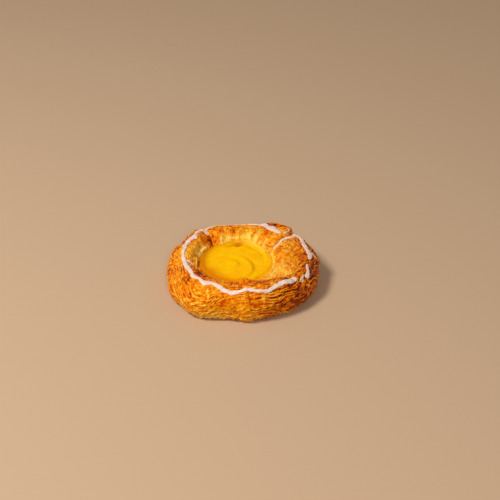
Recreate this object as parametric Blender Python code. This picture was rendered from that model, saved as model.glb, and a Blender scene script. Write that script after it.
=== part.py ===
"""Custard danish: a round of laminated dough folded in petals about a well of piped custard,
with icing drizzled round the crest. Metres, +Z up, origin at the middle of the base."""

import bmesh
import bpy
import numpy as np

MM = 0.001
NAME = "custard_danish"

# Where the profile's axis stands (mm), so that the origin is under the middle of the outline.
AXIS = (-0.8, -0.1, 0.0)

# The dough's profile in mm, as (radius, height) control points of a smooth curve: from the middle of
# the base out to the foot, up the wall, over the crest and down the petals to the middle of the well.
PROFILE = np.array([
    (0.0, 0.0), (27.0, 0.0), (44.0, 0.0), (50.0, 0.0), (52.4, 0.4),
    (54.9, 4.0), (56.1, 10.2), (54.6, 17.0), (50.0, 23.0), (43.2, 26.2),
    (36.4, 24.8), (31.6, 20.2), (27.6, 15.8), (19.0, 13.0), (8.0, 12.5), (0.0, 12.5),
])
# A station is a place along that profile: a point's number, with fractions between points.
FOOT, CREST, WELL_MIDDLE = 4.0, 9.0, 15.0
WELL_CENTRE = (-4.5, 3.6)
WELL_SHARE = (0, 0, 0, 0, 0, 0, 0, 0, 0.1, 0.3, 0.6, 0.9, 1, 1, 1, 1)  # of the well's offset, by station

# Where the outline is fuller than a circle: angle, push at the foot, push at the crest (mm), spread.
# Angles are in degrees, 0 at +X and 90 at the back (+Y).
CORNERS = (
    (14, 1.8, 2.4, 15), (34, 0.0, 2.2, 6), (50, 0.8, 5.4, 16), (128, 0.0, 5.4, 12), (160, 0.0, -1.2, 9),
    (184, 0.0, 0.2, 11), (208, 3.0, 1.0, 14), (234, 4.0, 1.4, 15), (258, -1.8, -0.6, 14),
    (290, -1.0, 0.0, 16), (343, 1.6, 0.8, 15),
)
FOOT_SHARE = (0, 0, 0.3, 0.9, 1, 1, 1, 0.6, 0.1, 0, 0, 0, 0, 0, 0, 0)
CREST_SHARE = (0, 0, 0, 0.1, 0.1, 0.2, 0.45, 0.8, 1.0, 0.8, 0.3, 0.1, 0, 0, 0, 0)

# The creases between petals: angle at the crest, turn on the way down to the well (degrees),
# depth (mm), and how far the petal anticlockwise of it stands above the mean crest (mm).
CREASES = (
    (40, -9, 3.6, -0.9), (125, 0, 4.6, -0.6), (190, 10, 2.6, -0.8), (272, 0, 1.0, 0.0),
    (322, -22, 3.0, -1.4),
)
CREASE_TURN_REACH = 3.0  # stations over which a crease turns
CREASE_EDGE = 1.6  # half width (mm) of a crease's sharp middle
CREASE_EDGE_SHARE = 0.45  # that middle's share of the depth
CREASE_SPREAD = 6.0  # mm from the middle of a crease to where its petals have their full height
PETAL_SIDE = 7.0  # degrees over which a petal's own height comes in at its sides

# Pillows and lips on the petals: angle, station, height (mm), spread in degrees and in stations.
SWELLS = (
    (2, 10.4, 2.6, 26, 1.0), (165, 10.1, 1.9, 24, 0.4), (278, 9.7, 1.4, 5, 0.5), (236, 9.9, 0.9, 20, 0.5),
    (58, 10.4, 1.0, 5, 1.0), (73, 10.7, 1.1, 4.5, 1.0), (88, 10.5, 1.2, 5, 1.0), (101, 10.6, 1.1, 4, 1.0),
    (112, 10.5, 1.2, 3.5, 1.0), (142, 9.6, 1.1, 6, 0.9), (164, 7.5, 1.7, 9, 0.6), (24, 7.7, 0.9, 16, 0.4),
    (330, 10.3, -1.0, 9, 0.7), (214, 10.4, -0.9, 14, 0.5), (300, 9.9, -2.8, 14, 0.9),
    (318, 9.6, -1.6, 9, 0.7),
)
# The fold that stands out of the front wall: angle, half width at the crest and at the foot, height and
# side (mm).
FRONT_FOLD = (274, 1.2, 5.2, 0.9, 2.0)
# The layer that has lifted off the crest at the back right: its angles, station and height (mm).
LIFTED_LAYER = (45, 74, 8.1, 2.9)

# Where each relief shows along the profile: (first station, reach) of its rise, the same of its fall,
# and the share of it that is left after the fall.
PETAL_WINDOW = ((6.2, 2.0), (11.0, 1.5), 0.0)
CREASE_WINDOW = ((7.0, 1.6), (11.2, 1.2), 0.1)
FOLD_WINDOW = ((3.4, 1.0), (7.9, 0.8), 0.0)
UNEVEN_WINDOW = ((3.2, 1.5), (11.0, 0.8), 0.0)
LEDGE_WINDOW = ((3.6, 0.8), (8.2, 1.2), 0.25)
LEDGE_END = (11.2, 0.8)

# Laminations in the wall: mm of profile from one ledge to the next, and a ledge's height (mm).
LEDGE_PITCH = 4.8
LEDGE_HEIGHT = 0.95
LEDGE_LIP = 0.25  # share of a ledge's pitch that its rise takes
WAVE_LENGTHS = (61.0, 43.0, 31.0, 24.0, 19.0, 14.0)  # mm, of the waves that make the ledges wander
WAVE_SHARE = 0.045  # height of a wave, as a share of its length
WAVE_SEED = 7
UNEVENNESS = 0.13  # share of the same waves by which the dough itself swells and sinks

COLUMNS = 108  # sections round the dough
CREASE_COLUMNS = (1.3, 7.0)  # how much closer they stand at a crease, and within how many degrees
ROW_STEP = 1.45  # mm of profile from row to row where the dough shows
HIDDEN_STATIONS = (0.0, 1.2, 2.2, 3.0, 3.5)
SHOWN_STATIONS = (3.8, 12.6)
FLOOR_STATIONS = (13.1, 13.8, 14.5, 15.0)
FLAT_STATION = 3.2  # below it the dough lies flat on what it rests on

# Icing strands: (angle, distance from the axis, width) in degrees and mm, along each strand.
ICING = {
    "ring": (
        (326.6, 47.9, 1.6), (323.4, 47.9, 2.9), (316.4, 48.7, 5.0), (311.2, 47.7, 4.6), (303.8, 47.8, 3.9),
        (297.6, 48.6, 3.3), (293.2, 49.6, 3.2), (287.4, 48.8, 2.7), (282.8, 48.0, 2.9), (278.6, 46.9, 3.1),
        (274.6, 46.6, 3.1), (270.6, 47.0, 2.4), (265.8, 47.6, 3.2), (262.0, 48.3, 3.7), (258.4, 47.9, 3.8),
        (254.2, 46.7, 4.1), (249.6, 45.0, 3.6), (244.8, 44.1, 3.2), (240.4, 44.9, 4.6), (237.0, 46.3, 5.2),
        (232.6, 45.2, 4.0), (229.4, 44.0, 3.2), (224.8, 44.9, 3.3), (220.8, 45.3, 3.5), (215.8, 43.6, 3.5),
        (210.4, 43.2, 4.2), (202.0, 42.8, 4.8), (190.8, 42.5, 3.4), (184.8, 43.1, 3.1), (179.2, 43.4, 2.9),
        (170.8, 43.7, 2.6), (164.2, 44.9, 3.4), (158.4, 44.9, 3.8), (152.0, 44.7, 3.6), (146.2, 44.8, 4.0),
        (140.8, 46.2, 3.0), (135.2, 47.9, 3.0), (130.2, 49.0, 3.2), (126.0, 48.6, 3.0), (121.0, 49.6, 2.4),
        (112.0, 49.4, 1.8), (100.0, 48.6, 1.6), (88.0, 48.0, 1.6), (79.0, 47.4, 1.8), (73.8, 47.6, 2.0),
        (70.0, 48.6, 3.4), (65.6, 48.2, 4.6), (60.2, 46.4, 6.6), (53.8, 44.6, 5.4), (49.0, 44.4, 3.8),
        (45.2, 44.6, 2.2),
    ),
    "right_arc": (
        (41.4, 52.0, 4.2), (37.8, 53.0, 5.0), (34.0, 53.8, 4.2), (27.0, 52.8, 3.4), (19.4, 50.6, 3.6),
        (12.4, 49.7, 3.6), (8.6, 51.0, 4.2), (3.6, 51.6, 4.4), (-1.4, 51.1, 1.7),
    ),
    "crossing": ((47.0, 55.0, 1.4), (45.0, 49.7, 2.2), (43.4, 45.4, 1.6)),
    "inner_arc": (
        (36.6, 51.0, 3.4), (34.6, 47.8, 3.6), (35.6, 43.3, 3.4), (35.0, 39.5, 3.2), (31.2, 35.5, 2.8),
        (30.4, 32.5, 2.4), (30.0, 30.8, 1.6),
    ),
    "side_run": ((8.0, 51.6, 1.8), (7.6, 54.6, 2.0), (6.4, 56.4, 1.6)),
    "drip": (
        (-10.0, 49.5, 1.8), (-15.0, 50.7, 2.6), (-17.6, 52.0, 2.4), (-22.8, 52.9, 3.2), (-24.8, 53.8, 5.0),
    ),
    "tail": ((-24.4, 50.0, 1.4), (-29.4, 50.8, 1.6), (-33.6, 52.0, 2.8)),
    "spur": ((191.4, 42.4, 2.5), (193.6, 39.0, 2.2), (195.6, 37.2, 1.0)),
    "blob_left": ((146.0, 46.0, 2.8), (146.0, 43.6, 3.4), (147.4, 41.8, 2.4)),
    "blob_back": ((126.4, 47.8, 3.0), (126.6, 45.0, 4.2), (127.2, 42.6, 2.6)),
}
ICING_STATIONS = (6.0, 11.6)  # where on the profile the strands lie
ICING_STEP = 3.4  # mm from point to point along a strand
ICING_THICKNESS = (0.75, 0.30)  # mm above the dough: a least height, and a share of the half width

# Custard: a low disc with a spiral and a peak piped on it, nearer the front than the well's centre (mm).
CUSTARD_LEVEL = 17.7
CUSTARD_DOME = 0.5
DISC_CENTRE = (-8.0, -8.0)
DISC_RADIUS = 15.0
DISC_STEP = (3.4, 1.5)  # how wide and how high the step at its edge is
DISC_CREST = (0.4, 1.5, 2.5)  # how far the edge stands above the disc, how far inside it, the spread
SWIRL_CENTRE = (-8.0, -3.0)
SWIRL_PITCH = 10.5
SWIRL_TURNED = -137.0  # degrees by which the spiral is turned about its centre
SWIRL_LEAN = 1.8  # above 1, the ridge leans outwards
SWIRL_HEIGHT = 0.9
SWIRL_START = 3.0  # mm from the centre over which the swirl comes in
SWIRL_FADE = (10.0, 4.5)  # mm from the centre where it starts to go out, and over how far
CLEAREST = (30.0, 85.0, 0.35)  # where swirl and crest stand highest, their spread, what is left elsewhere
PEAK = (1.3, 1.9)  # height, spread
# Ridges and grooves towards its back: angle, share of the way out, height, spreads in angle and share.
CUSTARD_RIDGES = (
    (50, 0.84, 1.0, 34, 0.055), (50, 0.73, -0.8, 34, 0.05), (52, 0.95, -0.5, 30, 0.04),
    (87, 0.75, -1.6, 6, 0.06), (101, 0.75, -0.9, 8, 0.05),
)
RIM_SHARE = 0.1  # share of the way out over which the top comes down to the rim
CUSTARD_COLUMNS = 64
CUSTARD_TOP_ROWS = 14
CUSTARD_EDGE = 11.75  # station where its edge meets the dough
CUSTARD_BACK = (78, 24, 0.7)  # where the edge climbs higher: angle, spread (degrees), stations
CUSTARD_UNDER_STATIONS = (CUSTARD_EDGE, 12.2, 12.8, 13.6, 14.4)
GAP = 0.35  # mm of clearance between the custard and the dough

DOUGH_COLOUR = (0.72, 0.27, 0.035)
CUSTARD_COLOUR = (0.93, 0.50, 0.012)


def smooth(x):
    """0 to 1 as x goes from 0 to 1, level at both ends."""
    x = np.clip(x, 0.0, 1.0)
    return x * x * (3.0 - 2.0 * x)


def turn_from(angle, other):
    """The signed turn in degrees from one angle to another."""
    return (other - angle + 180.0) % 360.0 - 180.0


def bell(x):
    """A bell curve, 1 at 0."""
    return np.exp(-x * x)


def within(station, window):
    """How far a relief shows at a station, from its window of a rise, a fall and what is left after it."""
    rise, fall, left = window
    shown = smooth((station - rise[0]) / rise[1])
    return shown * (1 - (1 - left) * smooth((station - fall[0]) / fall[1]))


def blend_weights(station):
    """The share that each profile point has in the curve at a station: a uniform cubic B-spline."""
    whole = np.clip(np.floor(station).astype(int), 0, len(PROFILE) - 2)
    t = station - whole
    shares = (
        (1 - t) ** 3 / 6, (3 * t**3 - 6 * t**2 + 4) / 6, (-3 * t**3 + 3 * t**2 + 3 * t + 1) / 6, t**3 / 6,
    )
    weights = np.zeros((len(PROFILE), *station.shape))
    for offset, share in zip((-1, 0, 1, 2), shares):
        point = np.clip(whole + offset, 0, len(PROFILE) - 1)
        for number in range(len(PROFILE)):
            weights[number] += np.where(point == number, share, 0.0)
    return weights


def crease_angle(crease, station):
    """The angle of a crease at a station: it turns as it runs from the crest to the well."""
    return crease[0] + crease[1] * smooth((station - CREST) / CREASE_TURN_REACH)


def petal_lift(angle, station):
    """How far each petal's top stands above or below the mean crest, in mm."""
    lift = np.zeros_like(angle)
    for crease, following in zip(CREASES, CREASES[1:] + CREASES[:1]):
        start = crease_angle(crease, station)
        span = (crease_angle(following, station) - start) % 360.0
        along = (angle - start) % 360.0
        lift += crease[3] * smooth(along / PETAL_SIDE) * smooth((span - along) / PETAL_SIDE)
    return lift * within(station, PETAL_WINDOW)


def folded_dough(angle, station):
    """Points (mm) of the dough before its relief, and their distance from the axis."""
    weights = blend_weights(station)
    distance = np.tensordot(PROFILE[:, 0], weights, 1)
    height = np.tensordot(PROFILE[:, 1], weights, 1) + petal_lift(angle, station)
    foot = np.tensordot(FOOT_SHARE, weights, 1)
    crest = np.tensordot(CREST_SHARE, weights, 1)
    for corner, foot_push, crest_push, spread in CORNERS:
        reach = bell(turn_from(corner, angle) / spread)
        distance = distance + reach * (foot * foot_push + crest * crest_push)
    shift = np.tensordot(WELL_SHARE, weights, 1)
    x = distance * np.cos(np.radians(angle)) + shift * WELL_CENTRE[0]
    y = distance * np.sin(np.radians(angle)) + shift * WELL_CENTRE[1]
    return np.stack([x, y, height], -1), distance


def outward(angle, station):
    """Unit normals of the folded dough, from its slopes along and across."""
    step = 1e-2
    across = folded_dough(angle + 1.0, station)[0] - folded_dough(angle - 1.0, station)[0]
    low, high = np.maximum(station - step, 0.0), np.minimum(station + step, WELL_MIDDLE)
    normal = np.cross(across, folded_dough(angle, high)[0] - folded_dough(angle, low)[0])
    return normal / np.maximum(np.linalg.norm(normal, axis=-1, keepdims=True), 1e-12)


def crease_relief(angle, station, distance):
    """Each crease as a narrow valley in a wide one, from the shoulder of the wall down to the well."""
    reach = within(station, CREASE_WINDOW)
    relief = np.zeros_like(angle)
    for crease in CREASES:
        away = np.radians(turn_from(crease_angle(crease, station), angle)) * distance
        sharp, wide = np.exp(-np.abs(away) / CREASE_EDGE), bell(away / CREASE_SPREAD)
        relief -= crease[2] * reach * (wide + CREASE_EDGE_SHARE * (sharp - wide))
    return relief


def swell_relief(angle, station):
    """The pillows and lips of SWELLS, each a smooth hump."""
    relief = np.zeros_like(angle)
    for at, level, rise, spread, reach in SWELLS:
        relief += rise * bell(turn_from(at, angle) / spread) * bell((station - level) / reach)
    return relief


def fold_relief(angle, station, distance):
    """The fold down the front wall, wider towards the foot, and the lifted layer at the back right."""
    at, top, bottom, rise, side = FRONT_FOLD
    down = np.clip((CREST - 1.0 - station) / (CREST - 1.0 - FOOT), 0.0, 1.0)
    half = top + (bottom - top) * down
    away = np.abs(np.radians(turn_from(at, angle)) * distance)
    fold = rise * smooth((half + 0.6 * side - away) / side) * within(station, FOLD_WINDOW)
    first, last, level, height = LIFTED_LAYER
    window = smooth((angle - first) / 3.0) * smooth((last - angle) / 5.0)
    return fold + height * window * within(station, ((level - 0.9, 0.9), (level, 0.35), 0.0))


def waves():
    """Seeded plane waves (direction, phase, height) that make the laminations wander."""
    source = np.random.default_rng(WAVE_SEED)
    made = []
    for length in WAVE_LENGTHS:
        direction = source.normal(size=3)
        direction *= 2.0 * np.pi / (length * np.linalg.norm(direction))
        made.append((direction, source.uniform(0.0, 2.0 * np.pi), WAVE_SHARE * length))
    return made


def wander(points):
    """The sum of the waves (mm) at each point."""
    total = np.zeros(points.shape[:-1])
    for direction, phase, rise in waves():
        total += rise * np.sin(points @ direction + phase)
    return total


def lamination(station, wandering):
    """Ledges where the dough's layers end in the wall, as a sawtooth of the way up it."""
    climb = np.interp(station, FINE_STATIONS, FINE_LENGTHS) + wandering
    share = (climb / LEDGE_PITCH) % 1.0
    shown = within(station, LEDGE_WINDOW) * (1 - smooth((station - LEDGE_END[0]) / LEDGE_END[1]))
    return LEDGE_HEIGHT * (smooth(share / LEDGE_LIP) - share) * shown


def profile_length():
    """Stations and the length of the mean profile up to each of them, in mm."""
    stations = np.linspace(0.0, WELL_MIDDLE, 600)
    curve = np.tensordot(PROFILE.T, blend_weights(stations), 1)
    steps = np.linalg.norm(np.diff(curve, axis=1), axis=0)
    return stations, np.concatenate([[0.0], np.cumsum(steps)])


FINE_STATIONS, FINE_LENGTHS = profile_length()


def dough_surface(angle, station, with_ledges=True):
    """Points (mm) of the finished dough and its outward directions."""
    points, distance = folded_dough(angle, station)
    normals = outward(angle, station)
    wandering = wander(points)
    relief = crease_relief(angle, station, distance) + swell_relief(angle, station)
    relief += fold_relief(angle % 360.0, station, distance)
    relief += UNEVENNESS * wandering * within(station, UNEVEN_WINDOW)
    if with_ledges:
        relief += lamination(station, wandering)
    return points + normals * relief[..., None], normals


def column_angles(count):
    """Angles of the sections, closer together at the creases and folds."""
    closer, spread = CREASE_COLUMNS
    fine = np.linspace(0.0, 360.0, 1441)
    density = np.ones_like(fine)
    for crease in CREASES:
        density += closer * bell(turn_from(crease[0], fine) / spread)
    gathered = np.concatenate([[0.0], np.cumsum((density[1:] + density[:-1]) / 2)])
    return np.interp(np.arange(count) * gathered[-1] / count, gathered, fine)


def row_stations():
    """Stations of the rows: even steps of length where the dough shows, a few where it is hidden."""
    first, last = np.interp(SHOWN_STATIONS, FINE_STATIONS, FINE_LENGTHS)
    count = int(round((last - first) / ROW_STEP))
    shown = np.interp(np.linspace(first, last, count + 1), FINE_LENGTHS, FINE_STATIONS)
    return np.concatenate([HIDDEN_STATIONS[1:], shown, FLOOR_STATIONS[:-1]])


def mesh_from_rings(name, rings, bottom, top):
    """A closed mesh through rings of equal count, with a point that closes each end, from mm."""
    rows, columns = rings.shape[:2]
    points = np.concatenate([rings.reshape(-1, 3), [bottom], [top]]) * MM
    ring = np.arange(columns)
    ahead = (ring + 1) % columns
    faces = []
    for row in range(rows - 1):
        low, high = row * columns, (row + 1) * columns
        faces += np.stack([low + ring, low + ahead, high + ahead, high + ring], -1).tolist()
    last = (rows - 1) * columns
    faces += np.stack([ahead, ring, np.full(columns, rows * columns)], -1).tolist()
    faces += np.stack([last + ring, last + ahead, np.full(columns, rows * columns + 1)], -1).tolist()
    mesh = bpy.data.meshes.new(name)
    mesh.from_pydata(points.tolist(), [], faces)
    mesh.shade_smooth()
    return mesh


def dough_mesh():
    """The dough as one closed mesh, flat underneath."""
    angle, station = np.meshgrid(column_angles(COLUMNS), row_stations())
    points, _ = dough_surface(angle, station)
    points[..., 2] = np.where(station < FLAT_STATION, 0.0, np.maximum(points[..., 2], 0.0))
    floor = dough_surface(np.zeros(1), np.full(1, WELL_MIDDLE))[0][0]
    return mesh_from_rings("dough", points, (0.0, 0.0, 0.0), floor)


def icing_points(strand):
    """A strand's points on the dough (mm), its widths there, and the outward directions."""
    angle, distance, width = np.array(strand).T
    corners = np.arange(len(angle))
    fine = np.linspace(0, len(angle) - 1, 24 * len(angle))
    angle, distance, width = (np.interp(fine, corners, values) for values in (angle, distance, width))
    station = np.linspace(*ICING_STATIONS, 60)
    level = np.empty_like(angle)
    for number, (at, out) in enumerate(zip(angle, distance)):
        reach = np.linalg.norm(dough_surface(np.full_like(station, at), station, False)[0][:, :2], axis=1)
        level[number] = np.interp(-out, -reach, station)
    points, normals = dough_surface(angle, level, False)
    length = np.concatenate([[0.0], np.cumsum(np.linalg.norm(np.diff(points, axis=0), axis=1))])
    count = max(3, int(round(length[-1] / ICING_STEP)) + 1)
    even = np.linspace(0.0, length[-1], count)
    points, normals = (
        np.stack([np.interp(even, length, axis) for axis in values.T], -1) for values in (points, normals)
    )
    return points, np.interp(even, length, width), normals


def icing_mesh(name, strand):
    """One strand as a round-bevelled curve that sinks into the dough, made a mesh with welded caps."""
    points, width, normals = icing_points(strand)
    half = width / 2.0
    rise = ICING_THICKNESS[0] + ICING_THICKNESS[1] * half
    bevel = (half**2 + rise**2) / (2.0 * rise)
    points = points + normals * (rise - bevel)[:, None]
    curve = bpy.data.curves.new(name, "CURVE")
    curve.dimensions = "3D"
    curve.bevel_depth = MM
    curve.bevel_resolution = 2
    curve.use_fill_caps = True
    spline = curve.splines.new("POLY")
    spline.points.add(len(points) - 1)
    for point, place, radius in zip(spline.points, points * MM, bevel):
        point.co = (*place, 1.0)
        point.radius = radius
    guide = bpy.data.objects.new(name, curve)
    bpy.context.scene.collection.objects.link(guide)
    evaluated = guide.evaluated_get(bpy.context.evaluated_depsgraph_get())
    mesh = bpy.data.meshes.new_from_object(evaluated)
    bpy.data.objects.remove(guide)
    weld(mesh)
    return mesh


def weld(mesh):
    """Joins points closer than 0.01 mm, as where a curve's caps meet its sides."""
    edit = bmesh.new()
    edit.from_mesh(mesh)
    bmesh.ops.remove_doubles(edit, verts=edit.verts, dist=1e-5)
    bmesh.ops.recalc_face_normals(edit, faces=edit.faces)
    edit.to_mesh(mesh)
    edit.free()


def custard_surface(angle, share):
    """Top of the custard (mm) at an angle and a share of the way out: a dome, its disc and its piping."""
    rim = custard_rim(angle)
    x = WELL_CENTRE[0] + share * rim[..., 0]
    y = WELL_CENTRE[1] + share * rim[..., 1]
    height = CUSTARD_LEVEL + CUSTARD_DOME * (1 - share**2) + custard_piping(x, y)
    for at, level, rise, spread, reach in CUSTARD_RIDGES:
        height = height + rise * bell(turn_from(at, angle) / spread) * bell((share - level) / reach)
    edge = smooth(1 - (1 - share) / RIM_SHARE)
    return np.stack([x, y, height * (1 - edge) + rim[..., 2] * edge], -1)


def custard_piping(x, y):
    """Height (mm) of the disc, the crest at its edge, the spiral ridge on it and the peak."""
    east, north = x - SWIRL_CENTRE[0], y - SWIRL_CENTRE[1]
    far = np.hypot(east, north)
    bearing = np.degrees(np.arctan2(north, east))
    turns = (far / SWIRL_PITCH + (bearing - SWIRL_TURNED) / 360.0) % 1.0
    ridge = 0.5 - 0.5 * np.cos(2 * np.pi * turns**SWIRL_LEAN)
    at, spread, least = CLEAREST
    clear = least + (1 - least) * bell(turn_from(at, bearing) / spread)
    fade = smooth(far / SWIRL_START) * (1 - smooth((far - SWIRL_FADE[0]) / SWIRL_FADE[1]))
    out = np.hypot(x - DISC_CENTRE[0], y - DISC_CENTRE[1]) - DISC_RADIUS
    width, rise = DISC_STEP
    crest, inside, reach = DISC_CREST
    disc = rise * (1 - smooth(out / width)) + crest * bell((out + inside) / reach) * clear
    return disc + SWIRL_HEIGHT * ridge * fade * clear + PEAK[0] * bell(far / PEAK[1])


def custard_under(angle, station):
    """The dough's well, raised by the gap: what the custard lies on."""
    points, normals = dough_surface(angle, station)
    return points + normals * GAP


def custard_climb(angle):
    """How many stations the custard's edge climbs above its usual place."""
    at, spread, climb = CUSTARD_BACK
    return climb * bell(turn_from(at, angle) / spread)


def custard_rim(angle):
    """The custard's edge on the dough, as steps from the well's centre and its height (mm)."""
    edge = custard_under(angle, CUSTARD_EDGE - custard_climb(angle))
    return edge - np.array([*WELL_CENTRE, 0.0])


def custard_mesh():
    """The custard as one closed mesh: its underside follows the well, its top is the swirl."""
    angle = np.arange(CUSTARD_COLUMNS) * 360.0 / CUSTARD_COLUMNS
    under_angle, station = np.meshgrid(angle, CUSTARD_UNDER_STATIONS[::-1])
    top_share = smooth((CUSTARD_UNDER_STATIONS[-1] - station) / (CUSTARD_UNDER_STATIONS[-1] - CUSTARD_EDGE))
    under = custard_under(under_angle, station - top_share * custard_climb(under_angle))
    shares = 1.0 - np.arange(1, CUSTARD_TOP_ROWS) / CUSTARD_TOP_ROWS
    top_angle, share = np.meshgrid(angle, shares)
    top = custard_surface(top_angle, share)
    floor = custard_under(np.zeros(1), np.full(1, WELL_MIDDLE))[0]
    peak = custard_surface(np.zeros(1), np.zeros(1))[0]
    return mesh_from_rings("custard", np.concatenate([under, top]), floor, peak)


def material(name, colour, roughness):
    """A plain shader with the piece's colour, roughness and no metal."""
    made = bpy.data.materials.new(name)
    made.use_nodes = True
    shader = made.node_tree.nodes["Principled BSDF"]
    shader.inputs["Base Color"].default_value = (*colour, 1.0)
    shader.inputs["Roughness"].default_value = roughness
    shader.inputs["Metallic"].default_value = 0.0
    return made


def add(collection, name, mesh, at=(0.0, 0.0, 0.0)):
    """A new object of the mesh, placed at a point given in mm."""
    made = bpy.data.objects.new(name, mesh)
    made.location = [MM * along for along in at]
    collection.objects.link(made)
    return made


def fuse(piece, meshes):
    """One Boolean union of the piece with every mesh, applied, with the joined objects removed."""
    toppings = bpy.data.collections.new("icing")
    bpy.context.scene.collection.children.link(toppings)
    for name, mesh in meshes.items():
        add(toppings, name, mesh)
    union = piece.modifiers.new("icing", "BOOLEAN")
    union.operation = "UNION"
    union.operand_type = "COLLECTION"
    union.collection = toppings
    union.solver = "EXACT"
    graph = bpy.context.evaluated_depsgraph_get()
    fused = bpy.data.meshes.new_from_object(piece.evaluated_get(graph))
    piece.modifiers.clear()
    piece.data = fused
    for helper in list(toppings.objects):
        bpy.data.objects.remove(helper)
    bpy.data.collections.remove(toppings)


def build():
    """Clears the scene and builds the pastry, with its icing joined to it, and the custard."""
    for old in list(bpy.data.objects):
        bpy.data.objects.remove(old)
    danish = bpy.data.collections.new(NAME)
    bpy.context.scene.collection.children.link(danish)
    pastry = add(danish, "pastry", dough_mesh())
    fuse(pastry, {name: icing_mesh(name, strand) for name, strand in ICING.items()})
    pastry.location = [MM * along for along in AXIS]
    pastry.data.materials.clear()
    pastry.data.materials.append(material("baked_dough", DOUGH_COLOUR, 0.5))
    pastry.data.shade_smooth()
    custard = add(danish, "custard", custard_mesh(), AXIS)
    custard.data.materials.append(material("custard", CUSTARD_COLOUR, 0.3))


build()
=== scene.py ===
"""Custard danish: the looks of a round of laminated dough folded about a well of piped custard.

The dough is a surface over two numbers, an angle round the danish and a station along its profile.
Every length below is in millimetres until a mesh is made, where MM turns it into metres.
"""

from __future__ import annotations

import logging
import math
from dataclasses import dataclass, field
from enum import Enum

import bpy
import numpy as np
from mathutils import Matrix, Vector
from numpy.typing import NDArray

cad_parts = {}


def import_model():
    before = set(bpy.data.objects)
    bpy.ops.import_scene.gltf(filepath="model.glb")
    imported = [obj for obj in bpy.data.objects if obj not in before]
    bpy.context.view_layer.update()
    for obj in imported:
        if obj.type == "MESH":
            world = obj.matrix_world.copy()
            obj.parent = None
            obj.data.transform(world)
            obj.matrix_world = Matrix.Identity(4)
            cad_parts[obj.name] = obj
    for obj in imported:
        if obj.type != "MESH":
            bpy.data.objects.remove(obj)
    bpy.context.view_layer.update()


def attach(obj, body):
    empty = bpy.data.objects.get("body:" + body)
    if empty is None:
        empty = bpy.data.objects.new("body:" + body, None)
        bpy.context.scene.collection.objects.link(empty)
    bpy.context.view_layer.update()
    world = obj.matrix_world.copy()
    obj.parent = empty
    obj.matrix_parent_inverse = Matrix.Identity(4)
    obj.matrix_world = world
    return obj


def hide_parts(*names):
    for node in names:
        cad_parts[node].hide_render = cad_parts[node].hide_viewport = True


Array = NDArray[np.float64]
Numbers = NDArray[np.int64]
Colour = tuple[float, float, float]
Window = tuple[tuple[float, float], tuple[float, float], float]
Socket = bpy.types.NodeSocket

MM = 0.001
FULL_TURN = 360.0
BODY = "root"
log = logging.getLogger("danish")


def smooth(x: Array) -> Array:
    """0 to 1 as x goes from 0 to 1, level at both ends: 3x² - 2x³."""
    x = np.clip(x, 0.0, 1.0)
    return x * x * (3.0 - 2.0 * x)


def bell(x: Array) -> Array:
    """A bell curve: e to the power of minus x squared."""
    return np.exp(-x * x)


def turn_from(angle: float | Array, other: Array) -> Array:
    """The signed turn in degrees from one angle to another, between -180 and 180."""
    return (other - angle + 180.0) % FULL_TURN - 180.0


def unit(vectors: Array) -> Array:
    """Each vector over its own length."""
    return vectors / np.maximum(np.linalg.norm(vectors, axis=-1, keepdims=True), 1e-12)


def dot(first: Array, second: Array) -> Array:
    """The scalar product of vectors, pair by pair."""
    return np.einsum("...i,...i->...", first, second)


def moved(points: Array, ways: Array, amount: Array) -> Array:
    """Points moved along their directions, each by its own amount."""
    return points + ways * amount[..., None]


def length_along(points: Array) -> Array:
    """The length of a line of points up to each of them."""
    return np.concatenate([[0.0], np.cumsum(np.linalg.norm(np.diff(points, axis=0), axis=1))])


def stair(climb: Array, pitch: float, lip: float) -> Array:
    """Ledges of height 1: over each pitch a smooth rise on the lip's share, then a straight fall."""
    share = (climb / pitch) % 1.0
    return smooth(share / lip) - share


def within(station: Array, window: Window) -> Array:
    """How far a relief shows at a station.

    Args:
        station: places along the profile.
        window: (first station, reach) of its rise, the same of its fall, and what is left after the fall.

    Returns:
        Shares from 0 to 1: a smooth rise times a smooth fall.
    """
    rise, fall, left = window
    shown = smooth((station - rise[0]) / rise[1])
    return shown * (1.0 - (1.0 - left) * smooth((station - fall[0]) / fall[1]))


def blur(grid: Array, reach: int) -> Array:
    """A grid's mean over a square of 2 reach + 1 points, joined across its last column to its first.

    Args:
        grid: rows along the profile, columns round the danish.
        reach: points each way.

    Returns:
        The means, as differences of running sums along each axis.
    """
    width = 2 * reach + 1
    padded = np.concatenate([grid[:, -reach:], grid, grid[:, :reach]], axis=1)
    sums = np.cumsum(np.pad(padded, ((0, 0), (1, 0))), axis=1)
    level = (sums[:, width:] - sums[:, :-width]) / width
    padded = np.pad(level, ((reach, reach), (0, 0)), mode="edge")
    sums = np.cumsum(np.pad(padded, ((1, 0), (0, 0))), axis=0)
    return (sums[width:] - sums[:-width]) / width


@dataclass(frozen=True)
class Bumps:
    """Noise bumps of one size: their height (mm or a share), width in mm, the shift that picks them, and how
    many times flatter than wide they are."""

    height: float
    size: float
    shift: float = 0.0
    flatness: float = 1.0


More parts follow.
